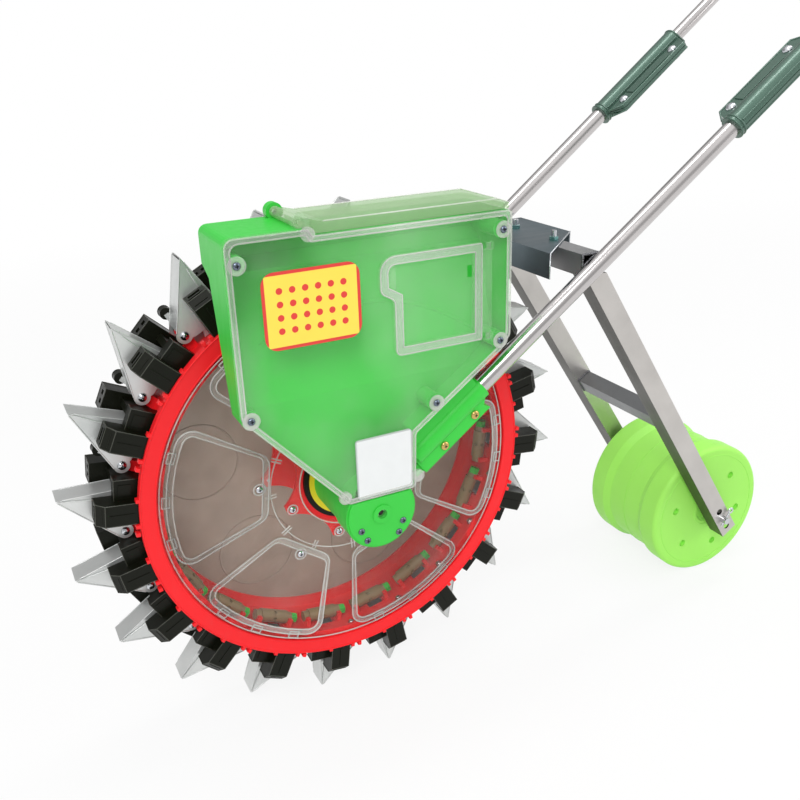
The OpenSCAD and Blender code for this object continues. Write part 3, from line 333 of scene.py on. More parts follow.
paintSpec = {"flangeFrom": 41.7, "nutsFrom": 330.0, "nutsTo": 380.0, "nutTop": 224.6, "legEdge": 0.5}
for name, obj in nodes.items():
    obj.data.materials.clear()
    obj.data.materials.append(finishes[finishOf.get(name, "beak")])
    if name.startswith("beak_moving"):
        back = stationTurn(int(name[-2:]) - 1).inverted()
        paintFaces(name, "black", lambda p, n: p.y > stationSpec["knobFrom"] * mm and onKnob(back @ p))
paintFaces("metering_rollers", "green", lambda p, n: alongRim(p) > stationSpec["rollerKnobFrom"] * mm)
paintFaces("inlet_ring", "black", lambda p, n: fromAxle(p) > paintSpec["flangeFrom"])
unturn = frameTurn.inverted()
paintFaces("frame_bolts", "tealZinc", lambda p, n: (paintSpec["nutsFrom"] < fromAxle(p) < paintSpec["nutsTo"]
                                                    and (unturn @ p).z < paintSpec["nutTop"] * mm))
# the legs' faces other than the near and far ones take the darker steel as painted shade
for name in ("leg_near", "leg_far"):
    paintFaces(name, "legSideShade", lambda p, n: abs(n.y) < paintSpec["legEdge"])
print("finishes on", len(nodes), "nodes")


# geometry node trees: named inputs, one output
class Shape(Net):
    kinds = {"count": "NodeSocketInt", "number": "NodeSocketFloat", "spot": "NodeSocketVector",
             "piece": "NodeSocketObject", "finish": "NodeSocketMaterial", "form": "NodeSocketGeometry",
             "flag": "NodeSocketBool"}

    def __init__(self, name, inputs):
        self.tree = bpy.data.node_groups.new(name, "GeometryNodeTree")
        for title, kind in list(inputs.items()) + [("Smooth", "flag"), ("Finish", "finish")]:
            self.tree.interface.new_socket(name=title, in_out="INPUT", socket_type=self.kinds[kind])
        self.tree.interface.new_socket(name="Result", in_out="OUTPUT", socket_type=self.kinds["form"])
        given = self.tree.nodes.new("NodeGroupInput")
        self.given = {socket.name: Val(self, socket) for socket in given.outputs if socket.name}
        self.out = self.tree.nodes.new("NodeGroupOutput")

    def done(self, form):
        plain = self.node("GeometryNodeRealizeInstances", None, {"Geometry": form})
        shaded = self.node("GeometryNodeSetShadeSmooth", None,
                           {"Geometry": plain, "Shade Smooth": self.given["Smooth"]})
        coated = self.node("GeometryNodeSetMaterial", None,
                           {"Geometry": shaded, "Material": self.given["Finish"]})
        self.tree.links.new(coated.socket, self.out.inputs[0])
        return self


# copies of a piece turned about the wheel's axle
def ringTree():
    s = Shape("ringOfPieces", {"Form": "form", "Count": "count", "First": "number", "Step": "number",
                               "Centre": "spot", "Piece": "piece"})
    points = s.node("GeometryNodeMeshLine", None, {"Count": s.given["Count"], "Offset": (0, 0, 0)})
    angle = s.given["First"] + s.node("GeometryNodeInputIndex") * s.given["Step"]
    placed = s.node("GeometryNodeSetPosition", None, {"Geometry": points, "Position": s.given["Centre"]})
    piece = s.node("GeometryNodeObjectInfo", None, {"Object": s.given["Piece"]}, "Geometry")
    euler = s.node("ShaderNodeCombineXYZ", None, {1: 0 - angle})
    turn = s.node("FunctionNodeEulerToRotation", None, {0: euler})
    return s.done(s.node("GeometryNodeInstanceOnPoints", None,
                         {"Points": placed, "Instance": piece, "Rotation": turn}))


# round bead along the edges of a path
def beadTree():
    s = Shape("beadOnPath", {"Path": "form", "Radius": "number", "Sides": "count"})
    curve = s.node("GeometryNodeMeshToCurve", None, {"Mesh": s.given["Path"]})
    ring = s.node("GeometryNodeCurvePrimitiveCircle", None,
                  {"Resolution": s.given["Sides"], "Radius": s.given["Radius"]})
    return s.done(s.node("GeometryNodeCurveToMesh", None,
                         {"Curve": curve, "Profile Curve": ring, "Fill Caps": True}))


# uneven drops of weld along a path, by shares of their radius
dropSpec = {"spacing": 0.8, "least": 0.75, "most": 1.15}


def weldTree():
    s = Shape("weldOnPath", {"Path": "form", "Radius": "number", "Spacing": "number", "Seed": "count"})
    curve = s.node("GeometryNodeMeshToCurve", None, {"Mesh": s.given["Path"]})
    even = s.node("GeometryNodeResampleCurve", {"mode": "LENGTH"},
                  {"Curve": curve, "Length": s.given["Spacing"]})
    drop = s.node("GeometryNodeMeshIcoSphere", None, {"Radius": s.given["Radius"], "Subdivisions": 2})
    uneven = s.node("FunctionNodeRandomValue", {"data_type": "FLOAT"},
                    {2: dropSpec["least"], 3: dropSpec["most"], "Seed": s.given["Seed"]}, 1)
    return s.done(s.node("GeometryNodeInstanceOnPoints", None,
                         {"Points": even, "Instance": drop, "Scale": uneven}))


# one piece on each spot, its Z along the spot's aim
def spotTree():
    s = Shape("pieceOnSpots", {"Spots": "form", "Piece": "piece"})
    aim = s.node("GeometryNodeInputNamedAttribute", {"data_type": "FLOAT_VECTOR"}, {"Name": "aim"})
    turn = s.node("FunctionNodeAlignRotationToVector", {"axis": "Z"}, {"Vector": aim})
    piece = s.node("GeometryNodeObjectInfo", None, {"Object": s.given["Piece"]}, "Geometry")
    return s.done(s.node("GeometryNodeInstanceOnPoints", None,
                         {"Points": s.given["Spots"], "Instance": piece, "Rotation": turn}))


ringOfPieces, beadOnPath, weldOnPath, pieceOnSpots = ringTree(), beadTree(), weldTree(), spotTree()


def newObject(name, verts, edges=(), faces=()):
    mesh = bpy.data.meshes.new(name)
    mesh.from_pydata([tuple(v) for v in verts], edges, faces)
    obj = bpy.data.objects.new(name, mesh)
    bpy.context.scene.collection.objects.link(obj)
    return obj


# run a tree on an object and keep its plain mesh
def grow(obj, shape, values):
    grown = obj.modifiers.new("shape", "NODES")
    grown.node_group = shape.tree
    for item in shape.tree.interface.items_tree:
        if item.in_out == "INPUT" and item.name in values:
            grown[item.identifier] = values[item.name]
    made = obj.evaluated_get(bpy.context.evaluated_depsgraph_get())
    mesh = bpy.data.meshes.new_from_object(made)
    obj.modifiers.remove(grown)
    obj.data = mesh
    return obj


# paths in millimetres, each with a note of whether it closes
def pathObject(name, paths, turn):
    verts, edges = [], []
    for path, closed in paths:
        start = len(verts)
        verts += [turn @ (Vector(p) * mm) for p in path]
        edges += [(start + i, start + i + 1) for i in range(len(path) - 1)]
        if closed:
            edges.append((len(verts) - 1, start))
    return newObject(name, verts, edges)


def bead(name, paths, radius, finish, turn=Matrix(), sides=8):
    return grow(pathObject(name, paths, turn), beadOnPath,
                {"Radius": radius * mm, "Sides": sides, "Smooth": True, "Finish": finishes[finish]})


def weld(name, paths, radius, finish, turn, seed):
    return grow(pathObject(name, paths, turn), weldOnPath,
                {"Radius": radius * mm, "Spacing": radius * dropSpec["spacing"] * mm, "Seed": seed,
                 "Smooth": True, "Finish": finishes[finish]})


def ringOf(name, pattern, finish, count=stationSpec["count"], first=stationSpec["first"], smooth=False):
    ring = grow(newObject(name, [(0, 0, 0)]), ringOfPieces,
                {"Count": count, "First": math.radians(first), "Step": math.tau / count,
                 "Centre": tuple(axle), "Piece": pattern, "Smooth": smooth, "Finish": finishes[finish]})
    bpy.data.objects.remove(pattern)
    return ring


def onSpots(name, spots, pattern, finish, smooth=False):
    holder = newObject(name, [place for place, aim in spots])
    aims = holder.data.attributes.new("aim", "FLOAT_VECTOR", "POINT")
    for i, (place, aim) in enumerate(spots):
        aims.data[i].vector = aim
    made = grow(holder, pieceOnSpots, {"Piece": pattern, "Smooth": smooth, "Finish": finishes[finish]})
    bpy.data.objects.remove(pattern)
    return made


# bevelled blocks between two corners, in millimetres
def boxes(name, corners, bevel=0.3, turn=Matrix()):
    shape = bmesh.new()
    for low, high in corners:
        for v in bmesh.ops.create_cube(shape, size=1)["verts"]:
            v.co = turn @ Vector([((l + h) / 2 + c * (h - l)) * mm for l, h, c in zip(low, high, v.co)])
    bmesh.ops.bevel(shape, geom=shape.edges[:], offset=bevel * mm, segments=2, affect="EDGES", profile=0.6)
    obj = newObject(name, [])
    shape.to_mesh(obj.data)
    shape.free()
    return obj


# turned form about Z from (radius, height) pairs in millimetres
def lathe(name, profile, count=24):
    rows = [[(r * math.cos(a) * mm, r * math.sin(a) * mm, z * mm)
             for a in (math.tau * i / count for i in range(count))] for r, z in profile]
    faces = [list(range(count))[::-1], [(len(rows) - 1) * count + i for i in range(count)]]
    for j in range(len(rows) - 1):
        for i in range(count):
            n = (i + 1) % count
            faces.append((j * count + i, j * count + n, (j + 1) * count + n, (j + 1) * count + i))
    return newObject(name, [v for row in rows for v in row], (), faces)


# corners of an outline rounded, each by its own radius; nearly straight ones stay as they are
def rounded(points, radii, steps=6, straight=1.55):
    out = []
    for i, (corner, radius) in enumerate(zip(points, radii)):
        p = Vector(corner)
        back = (Vector(points[i - 1]) - p).normalized()
        ahead = (Vector(points[(i + 1) % len(points)]) - p).normalized()
        half = math.acos(max(-1, min(1, back.dot(ahead)))) / 2
        if radius == 0 or half > straight:
            out.append(p)
            continue
        centre = p + (back + ahead).normalized() * radius / math.sin(half)
        away = (p - centre).normalized()
        side = 1 if back.x * ahead.y - back.y * ahead.x > 0 else -1
        for s in range(steps + 1):
            turn = side * (math.pi / 2 - half) * (1 - 2 * s / steps)
            out.append(centre + radius * Vector((away.x * math.cos(turn) - away.y * math.sin(turn),
                                                 away.x * math.sin(turn) + away.y * math.cos(turn))))
    return [(v.x, v.y) for v in out]


# outline moved inward by d
def inset(points, d):
    out = []
    for i, corner in enumerate(points):
        p = Vector(corner)
        u = (p - Vector(points[i - 1])).normalized()
        v = (Vector(points[(i + 1) % len(points)]) - p).normalized()
        a, b = Vector((-u.y, u.x)), Vector((-v.y, v.x))
        q = p + (a + b) * d / (1 + a.dot(b))
        out.append((q.x, q.y))
    return out


# flat ring between two outlines with as many points
def flatRing(name, outer, inner, depth, finish, turn=Matrix()):
    n = len(outer)
    verts = [turn @ (Vector((x, y, z)) * mm) for y in depth for ring in (outer, inner) for x, z in ring]
    faces = []
    for i in range(n):
        j = (i + 1) % n
        faces += [(i, j, n + j, n + i), (2 * n + j, 2 * n + i, 3 * n + i, 3 * n + j),
                  (j, i, 2 * n + i, 2 * n + j), (n + i, n + j, 3 * n + j, 3 * n + i)]
    ring = newObject(name, verts, (), faces)
    ring.data.materials.append(finishes[finish])
    return ring


# the piece moves with a body
def carry(piece, body):
    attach(piece, body)


def circlePath(radius, y, count=160, middle=(0, 0)):
    return [(middle[0] + radius * math.cos(a), y, middle[1] + radius * math.sin(a))
            for a in (math.tau * i / count for i in range(count))]


# sizes of pieces are in millimetres; points of a station run outward, across and ahead
atAxle = Matrix.Translation(axle)

# red rings: beads along their edges, and teeth between the mouth blocks
ringSpec = {"face": 44.0, "inner": 202.2, "outer": 217.0, "beadR": 0.8, "tooth": (216.5, 221.0),
            "toothY": (37.5, 44.2), "toothLen": 4.0, "toothBevel": 0.5,
            "nearTeeth": (-5.8, 21.8, 30.5), "farTeeth": (-26.8, 1.8, 12.0)}
for side, sideName in ((-1, "near"), (1, "far")):
    y = side * ringSpec["face"]
    edges = [(circlePath(radius, y), True) for radius in (ringSpec["inner"], ringSpec["outer"])]
    carry(bead(sideName + "RingBeads", edges, ringSpec["beadR"], "red", atAxle),
          "planting_wheel")
    low, high = sorted(side * v for v in ringSpec["toothY"])
    foot, tip = ringSpec["tooth"]
    corners = [((foot, low, at), (tip, high, at + ringSpec["toothLen"]))
               for at in ringSpec[sideName + "Teeth"]]
    teeth = boxes("toothPattern", corners, ringSpec["toothBevel"])
    carry(ringOf(sideName + "RingTeeth", teeth, "red"), "planting_wheel")

# slots in the drum between the blocks, as dark boxes whose colour is painted shade, and its inner screws
drumSpec = {"outer": 212.0, "inner": 206.0, "slotTurn": 8.0, "slotHalf": 3.0, "slotDepth": 1.0,
            "slotProud": 0.15, "slotBevel": 0.05, "slotY": ((-33.5, -29), (-26, -21.5), (9, 13), (23, 31)),
            "screwTurn": 8.6, "screwY": -20.0, "screwSides": 20,
            "screw": [(4.2, -0.6), (4.2, 0.7), (3.2, 0.8), (3.1, 1.8), (2.2, 2.7), (0.9, 3.0)]}
slotLow, slotHigh = drumSpec["outer"] - drumSpec["slotDepth"], drumSpec["outer"] + drumSpec["slotProud"]
slots = boxes("slotPattern", [((slotLow, start, -drumSpec["slotHalf"]), (slotHigh, end, drumSpec["slotHalf"]))
                              for start, end in drumSpec["slotY"]], drumSpec["slotBevel"])
carry(ringOf("drumSlots", slots, "shadow", first=stationSpec["first"] + drumSpec["slotTurn"]),
      "planting_wheel")
screw = lathe("screwPattern", drumSpec["screw"], drumSpec["screwSides"])
screw.data.transform(Matrix.Translation(Vector((drumSpec["inner"], drumSpec["screwY"], 0)) * mm)
                     @ Matrix.Rotation(math.radians(-90), 4, "Y"))
carry(ringOf("drumScrews", screw, "screw", first=stationSpec["first"] + drumSpec["screwTurn"], smooth=True),
      "planting_wheel")
print("rings and drum detailed")

# mouth blocks: edge beads in a lighter black, partly wear and partly painted highlight, raised pads and a
# parting line
block = {"near": -41.0, "start": -1.0, "lead": 21.0, "top": 257.0, "chamfer": 8.0, "back": 239.0,
         "backY": -30.0, "trail": -22.0, "far": 254.0, "farIn": 18.5, "farLead": 1.0, "foot": 219.0,
         "cheekIn": -16.5, "edgeR": 0.5, "edgeSides": 6, "padBevel": 0.25,
         "pads": [((222, -41.7, 9.3), (245, -40.5, 10.7)), ((222, -30.7, -17), (235, -29.5, -5)),
                  ((251, -38.6, 3), (252.2, -36.8, 18)), ((256.5, -30.5, 2.5), (257.8, -27.5, 18.5)),
                  ((226, 40.5, -18), (246, 41.7, -12)), ((226, 40.5, -8), (246, 41.7, -2))]}


def blockEdgePaths(spec):
    near, start, lead, top, foot = (spec[k] for k in ("near", "start", "lead", "top", "foot"))
    back, backY, trail, cheek = (spec[k] for k in ("back", "backY", "trail", "cheekIn"))
    far, farIn, farLead = (spec[k] for k in ("far", "farIn", "farLead"))
    shoulder, crown = top - spec["chamfer"], near + spec["chamfer"]
    paths = [([(foot, near, t), (shoulder, near, t), (top, crown, t), (top, cheek, t)], False)
             for t in (start, lead)]
    paths += [([(r, y, start), (r, y, lead)], False)
              for r, y in ((shoulder, near), (top, crown), (top, cheek))]
    paths += [([(foot, backY, trail), (back, backY, trail), (back, backY, start)], False),
              ([(back, backY, trail), (back, cheek, trail)], False),
              ([(far, farIn, trail), (far, -near, trail), (far, -near, farLead), (far, farIn, farLead)], True)]
    return paths + [([(foot, -near, t), (far, -near, t)], False) for t in (trail, farLead)]


edgePattern = bead("edgePattern", blockEdgePaths(block), block["edgeR"], "blackEdgeWearAndSheen", sides=block["edgeSides"])
carry(ringOf("blockEdges", edgePattern, "blackEdgeWearAndSheen", smooth=True), "planting_wheel")
carry(ringOf("blockPads", boxes("padPattern", block["pads"], block["padBevel"]), "black"),
      "planting_wheel")
print("mouth blocks detailed")

# beaks: bright folded edges, and a rounded cap on each trip knob
beakSpec = {"nose": (288.0, 1.7), "ear": (232.4, 45.6), "heel": (220.5, 4.8), "toe": (277.0, 1.2),
            "face": 15.0, "foldR": 0.7, "web": ((214, -6.5), (284, -0.4)), "webY": 13.4, "webR": 0.6,
            "knob": (244.0, 26.0, 41.0), "knobR": 6.35, "knobFlat": 0.45, "knobSides": 20,
            "knobFoot": ((0.93, -2.2), (1.0, -1.2), (1.0, 0.0)), "knobDome": (18, 36, 54, 70, 82)}
for k in range(stationSpec["count"]):
    body = "beak_%02d" % (k + 1)
    folds = [([(beakSpec[a][0], y, beakSpec[a][1]), (beakSpec[b][0], y, beakSpec[b][1])], False)
             for y in (-beakSpec["face"], beakSpec["face"]) for a, b in (("nose", "ear"), ("toe", "heel"))]
    carry(bead("beakFolds%02d" % (k + 1), folds, beakSpec["foldR"], "beak", stationTurn(k)), body)
    radius = beakSpec["knobR"]
    profile = [(radius * share, z) for share, z in beakSpec["knobFoot"]]
    profile += [(radius * math.cos(a), radius * beakSpec["knobFlat"] * math.sin(a))
                for a in (math.radians(d) for d in beakSpec["knobDome"])]
    cap = lathe("knobCap%02d" % (k + 1), profile, beakSpec["knobSides"])
    cap.data.transform(stationTurn(k) @ Matrix.Translation(Vector(beakSpec["knob"]) * mm)
                       @ Matrix.Rotation(math.radians(-90), 4, "X"))
    cap.data.shade_smooth()
    cap.data.materials.append(finishes["black"])
    carry(cap, body)
webPaths = [([(r, y, t) for r, t in beakSpec["web"]], False) for y in (-beakSpec["webY"], beakSpec["webY"])]
carry(ringOf("webFolds", bead("webPattern", webPaths, beakSpec["webR"], "beak"), "beak", smooth=True),
      "planting_wheel")
print("beaks detailed")

# near cover: rib tops on the windows, screw rings, latch tabs and short bars, in a whitish finish that is
# painted highlight
window = {"count": 6, "first": 51.3, "half": 24.5, "taper": 0.9, "inner": 92.0, "outer": 193.7, "top": -45.1,
          "innerCorner": 16.0, "outerCorner": 17.0, "arcSteps": 8, "ribs": (-1.4, -7.5), "ribR": 0.85,
          "band": (-45.4, -44.9), "screwAt": 97.0, "screwRing": 6.2, "screwSides": 24,
          "tabs": (-14, 0, 14), "tab": (189.0, 196.6, 5.6), "tabTop": -45.5,
          "bars": (-20.0, 8.0), "bar": (78.0, 90.0, 1.6), "barTop": -42.2}


def windowOutline(spec, out):
    steps = spec["arcSteps"]
    half = math.radians(spec["half"]) + math.atan(out / spec["outer"])
    inner, outer = spec["inner"] - out, spec["outer"] + out
    ends = [(inner * math.cos(t * spec["taper"]), inner * math.sin(t * spec["taper"])) for t in (-half, half)]
    turns = [half * (2 * i / steps - 1) for i in range(steps + 1)]
    arc = [(outer * math.cos(t), outer * math.sin(t)) for t in turns]
    innerR, outerR = spec["innerCorner"] + out, spec["outerCorner"] + out
    return rounded([ends[0]] + arc + [ends[1]], [innerR, outerR] + [0] * (steps - 1) + [outerR, innerR])


# points at a radius and an offset, turned about the axle
def turned(degrees, y, spots):
    c, s = math.cos(math.radians(degrees)), math.sin(math.radians(degrees))
    return [(c * r - s * o, y, s * r + c * o) for r, o in spots]


ribPaths = [([(x, window["top"], z) for x, z in windowOutline(window, d)], True) for d in window["ribs"]]
screwRing = circlePath(window["screwRing"], window["top"], window["screwSides"], (window["screwAt"], 0))
ribPaths.append((screwRing, True))
low, high, wide = window["tab"]
for degrees in window["tabs"]:
    ribPaths.append((turned(degrees, window["tabTop"],
                            ((low, -wide), (high, -wide), (high, wide), (low, wide))), True))
low, high, wide = window["bar"]
for degrees in window["bars"]:
    ribPaths += [(turned(degrees, window["barTop"], ((low, o), (high, o))), False) for o in (-wide, wide)]
ribs = bead("ribPattern", ribPaths, window["ribR"], "ribHighlightAndFrost")
carry(ringOf("windowRibs", ribs, "ribHighlightAndFrost", window["count"], window["first"], smooth=True),
      "planting_wheel")
outlines = [windowOutline(window, d) for d in window["ribs"]]
ribBand = flatRing("bandPattern", outlines[0], outlines[1], window["band"], "ribMist")
carry(ringOf("windowBands", ribBand, "ribMist", window["count"], window["first"]), "planting_wheel")

# rings on the near cover in the same whitish painted highlight, and rings pressed into the far cover
coverSpec = {"rings": ((198.7, -42.8), (53.2, -45.4), (84, -41.9)), "ringR": 0.75,
             "starFirst": 19, "starAt": 66, "starRing": 5.6, "starTop": -42.0, "starSides": 24,
             "farAt": 138.0, "farRing": 44.0, "farTop": 38.6, "farR": 0.9, "farSides": 48}
coverPaths = [(circlePath(r, y), True) for r, y in coverSpec["rings"]]
for k in range(window["count"]):
    a = math.radians(coverSpec["starFirst"] + 360 / window["count"] * k)
    middle = (coverSpec["starAt"] * math.cos(a), coverSpec["starAt"] * math.sin(a))
    starRing = circlePath(coverSpec["starRing"], coverSpec["starTop"], coverSpec["starSides"], middle)
    coverPaths.append((starRing, True))
carry(bead("coverRings", coverPaths, coverSpec["ringR"], "ribHighlightAndFrost", atAxle), "planting_wheel")
farPath = circlePath(coverSpec["farRing"], coverSpec["farTop"], coverSpec["farSides"], (coverSpec["farAt"], 0))
farRing = bead("farPattern", [(farPath, True)], coverSpec["farR"], "greyRib")
carry(ringOf("farRings", farRing, "greyRib", window["count"], window["first"], smooth=True),
      "planting_wheel")
print("covers detailed")

# hopper front: edges in a whitish painted highlight with a milky band between them, here and on the door
hopper = {"points": [(-33, 18), (40, 18), (42, 77), (140, 146), (150, 160), (150, 284), (-52, 284), (-56, 290),
                     (-131, 290), (-131, 128)],
          "radii": [4, 4, 6, 8, 8, 5, 1, 1, 8, 10], "edges": (0.9, 5.0), "face": -131.5,
          "band": (-132.0, -131.3), "beadR": 0.8}
rims = [rounded(inset(hopper["points"], d), hopper["radii"]) for d in hopper["edges"]]
rimPaths = [([(x, hopper["face"], z) for x, z in rim], True) for rim in rims]
carry(bead("frontEdges", rimPaths, hopper["beadR"], "ribHighlightAndFrost", frameTurn), "frame")
carry(flatRing("frontBand", rims[0], rims[1], hopper["band"], "milky", frameTurn), "frame")
door = {"points": [(22, 161), (116, 161), (116, 257), (8, 257), (8, 223), (22, 215)],
        "radii": [6, 3, 3, 16, 8, 8], "leastR": 0.5, "edges": (0.8, 8.0), "face": -133.8,
        "band": (-134.1, -133.6), "beadR": 0.7}
rims = [rounded(inset(door["points"], d), [max(r - d, door["leastR"]) for r in door["radii"]])
        for d in door["edges"]]
rimPaths = [([(x, door["face"], z) for x, z in rim], True) for rim in rims]
carry(bead("doorEdges", rimPaths, door["beadR"], "ribHighlightAndFrost", frameTurn), "door")
carry(flatRing("doorBand", rims[0], rims[1], door["band"], "milky", frameTurn), "door")

# lid edges in the whitish painted highlight, clear bosses partly frosted and partly painted highlight, and the
# arc inside the hopper
lidSpec = {"path": [(-40, 294.2), (137, 294.2), (148.6, 290)], "sides": (-126.2, -57), "cross": 1, "beadR": 0.7}
lidPaths = [([(x, y, z) for x, z in lidSpec["path"]], False) for y in lidSpec["sides"]]
x, z = lidSpec["path"][lidSpec["cross"]]
lidPaths.append(([(x, y, z) for y in lidSpec["sides"]], False))
carry(bead("lidEdges", lidPaths, lidSpec["beadR"], "ribHighlightAndFrost", frameTurn), "lid")
near = (0, -1, 0)
bossSpec = {"corner": [(-36, 25), (44, 29), (-56, 285)], "cornerY": -127.2, "cornerSides": 28,
            "cornerForm": [(6.5, 0), (6.5, 3.4), (6, 4.2), (3.2, 4.6), (2.4, 3.6)],
            "screwed": [(-121, 267), (-122, 127), (140, 266), (138, 156), (65, 104.5)], "faceY": -132.0,
            "faceSides": 32, "faceForm": [(8.3, -0.3), (8.3, 0.4), (7.6, 0.8), (4.6, 0.8), (4.2, 0.3)]}
bosses = onSpots("cornerBosses", [(onFrame(x, bossSpec["cornerY"], z), near) for x, z in bossSpec["corner"]],
                 lathe("bossPattern", bossSpec["cornerForm"], bossSpec["cornerSides"]), "ribHighlightAndFrost", True)
carry(bosses, "frame")
bossFaces = onSpots("bossFaces", [(onFrame(x, bossSpec["faceY"], z), near) for x, z in bossSpec["screwed"]],
                    lathe("facePattern", bossSpec["faceForm"], bossSpec["faceSides"]), "ribHighlightAndFrost", True)
carry(bossFaces, "frame")
arcSpec = {"radius": 205.0, "from": 118, "step": 4, "count": 19, "wallY": 77.0, "wallTop": 246.0,
           "wallSlope": 0.2254, "beadR": 2.6, "sides": 12}
arcPath = []
for i in range(arcSpec["count"]):
    a = math.radians(arcSpec["from"] - arcSpec["step"] * i)
    x, z = math.cos(a) * arcSpec["radius"], math.sin(a) * arcSpec["radius"]
    arcPath.append((x, -(arcSpec["wallY"] + (arcSpec["wallTop"] - z) * arcSpec["wallSlope"]), z))
carry(bead("hopperArc", [(arcPath, False)], arcSpec["beadR"], "green", frameTurn, arcSpec["sides"]),
      "frame")
print("hopper detailed")

# sheet pieces on the hopper's front
stickerSpec = {"middle": (-56, 222), "half": (46, 35), "corner": 12.0, "sheet": (-130.0, -130.5), "border": 3.0,
               "pitch": 12.0, "dot": 3.0, "paper": (0.95, 0.72, 0.08), "ink": (0.72, 0.04, 0.03)}
labelSpec = {"middle": (6.5, 52), "half": (30, 31.5), "corner": 3.0, "sheet": (-130.0, -131.9), "border": 1.2,
             "pitch": 200.0, "dot": 0.0, "paper": (0.8, 0.82, 0.82), "ink": (0.52, 0.55, 0.55)}


def sheetPiece(name, spec):
    u, v = spec["half"]
    x, z = spec["middle"]
    outline = rounded([(x - u, z - v), (x + u, z - v), (x + u, z + v), (x - u, z + v)], [spec["corner"]] * 4)
    back, front = spec["sheet"]
    count = len(outline)
    verts = [onFrame(px, y, pz) for y in (front, back) for px, pz in outline]
    faces = [list(range(count)), list(range(count, 2 * count))[::-1]]
    faces += [(i, count + i, count + (i + 1) % count, (i + 1) % count) for i in range(count)]
    piece = newObject(name, verts, (), faces)
    piece.data.materials.append(dottedLabel(name + "Print", spec))
    return piece


carry(sheetPiece("dotSticker", stickerSpec), "frame")
carry(sheetPiece("blankLabel", labelSpec), "frame")

# cross slots in the screw heads: dark crosses standing just proud of the heads, their colour painted shade
slotSpec = {"arm": 1.7, "width": 0.45, "depth": 0.5, "proud": 0.06, "bevel": 0.05}
headSpec = {"hopperY": -134.2, "cap": [(-23, -14), (-17, -26), (23, -14), (18, -26)], "capY": -136.2,
            "clamp": ((-1, -11.0), (1, 16.0)), "clampAt": (95, 140), "clampZ": -16,
            "wheel": ((window["screwAt"], window["first"], -47.5, -1),
                      (coverSpec["starAt"], coverSpec["starFirst"], -43.9, -1),
                      (coverSpec["starAt"], coverSpec["starFirst"], 43.9, 1)),
            "pivot": (226, -18.15, 41)}
handleSpec = {"half": 101.0, "slope": 37.0, "splay": 1.0}


def crossPattern():
    arm, width = slotSpec["arm"], slotSpec["width"]
    depth, proud = slotSpec["depth"], slotSpec["proud"]
    return boxes("crossPattern", [((-arm, -width, -depth), (arm, width, proud)),
                                  ((-width, -arm, -depth), (width, arm, proud))], slotSpec["bevel"])


def handleFrame(side):
    return (frameTurn @ Matrix.Translation((0, side * handleSpec["half"] * mm, 0))
            @ Matrix.Rotation(math.radians(-handleSpec["slope"]), 4, "Y")
            @ Matrix.Rotation(math.radians(side * handleSpec["splay"]), 4, "Z"))


frameHeads = [(onFrame(x, headSpec["hopperY"], z), near) for x, z in bossSpec["screwed"]]
frameHeads += [(onFrame(x, headSpec["capY"], z), near) for x, z in headSpec["cap"]]
for side, y in headSpec["clamp"]:
    turn = handleFrame(side)
    frameHeads += [(turn @ (Vector((t, y, headSpec["clampZ"])) * mm), turn.to_3x3() @ Vector((0, side, 0)))
                   for t in headSpec["clampAt"]]
carry(onSpots("frameCrosses", frameHeads, crossPattern(), "shadow"), "frame")
wheelHeads = []
for k in range(window["count"]):
    for radius, first, y, aim in headSpec["wheel"]:
        a = math.radians(first + 360 / window["count"] * k)
        wheelHeads.append((axle + Vector((radius * math.cos(a), y, radius * math.sin(a))) * mm, (0, aim, 0)))
for k in range(stationSpec["count"]):
    wheelHeads.append((stationTurn(k) @ (Vector(headSpec["pivot"]) * mm), near))
carry(onSpots("wheelCrosses", wheelHeads, crossPattern(), "shadow"), "planting_wheel")
print("screw heads detailed", len(frameHeads) + len(wheelHeads))

# connector sleeves: end collars, ridges along the half shells and a pad on each flange
sleeve = {"r": 13.0, "beadR": 1.1, "collars": (556.7, 561.5, 699.3), "collarSides": 40,
          "ridge": (563.5, 696.5), "ridgeAt": (28, 152), "flange": 4.5,
          "rim": ((559.5, 16), (572.5, 31), (689.5, 31), (697.5, 16)),
          "pad": (594, 662), "padY": (15.5, 28), "padProud": 1.2, "padSunk": 0.5, "padBevel": 0.5}


def onSleeve(t, angle):
    return (t, sleeve["r"] * math.cos(angle), sleeve["r"] * math.sin(angle))


for side, sideName in ((-1, "Near"), (1, "Far")):
    turn = handleFrame(side)
    sides, flange = sleeve["collarSides"], sleeve["flange"]
    paths = [([onSleeve(t, math.tau * i / sides) for i in range(sides)], True) for t in sleeve["collars"]]
    paths += [([onSleeve(t, math.radians(d * sign)) for t in sleeve["ridge"]], False)
              for d in sleeve["ridgeAt"] for sign in (1, -1)]
    paths += [([(t, -side * y, z) for t, y in sleeve["rim"]], False) for z in (flange, -flange)]
    carry(bead("sleeveRidges" + sideName, paths, sleeve["beadR"], "darkGreen", turn), "frame")
    start, end = sleeve["pad"]
    low, high = sorted(-side * y for y in sleeve["padY"])
    proud, sunk = flange + sleeve["padProud"], flange - sleeve["padSunk"]
    corners = [((start, low, sunk), (end, high, proud)), ((start, low, -proud), (end, high, -sunk))]
    pads = boxes("sleevePads" + sideName, corners, sleeve["padBevel"], turn)
    pads.data.materials.append(finishes["darkGreen"])
    carry(pads, "frame")
print("sleeves detailed")

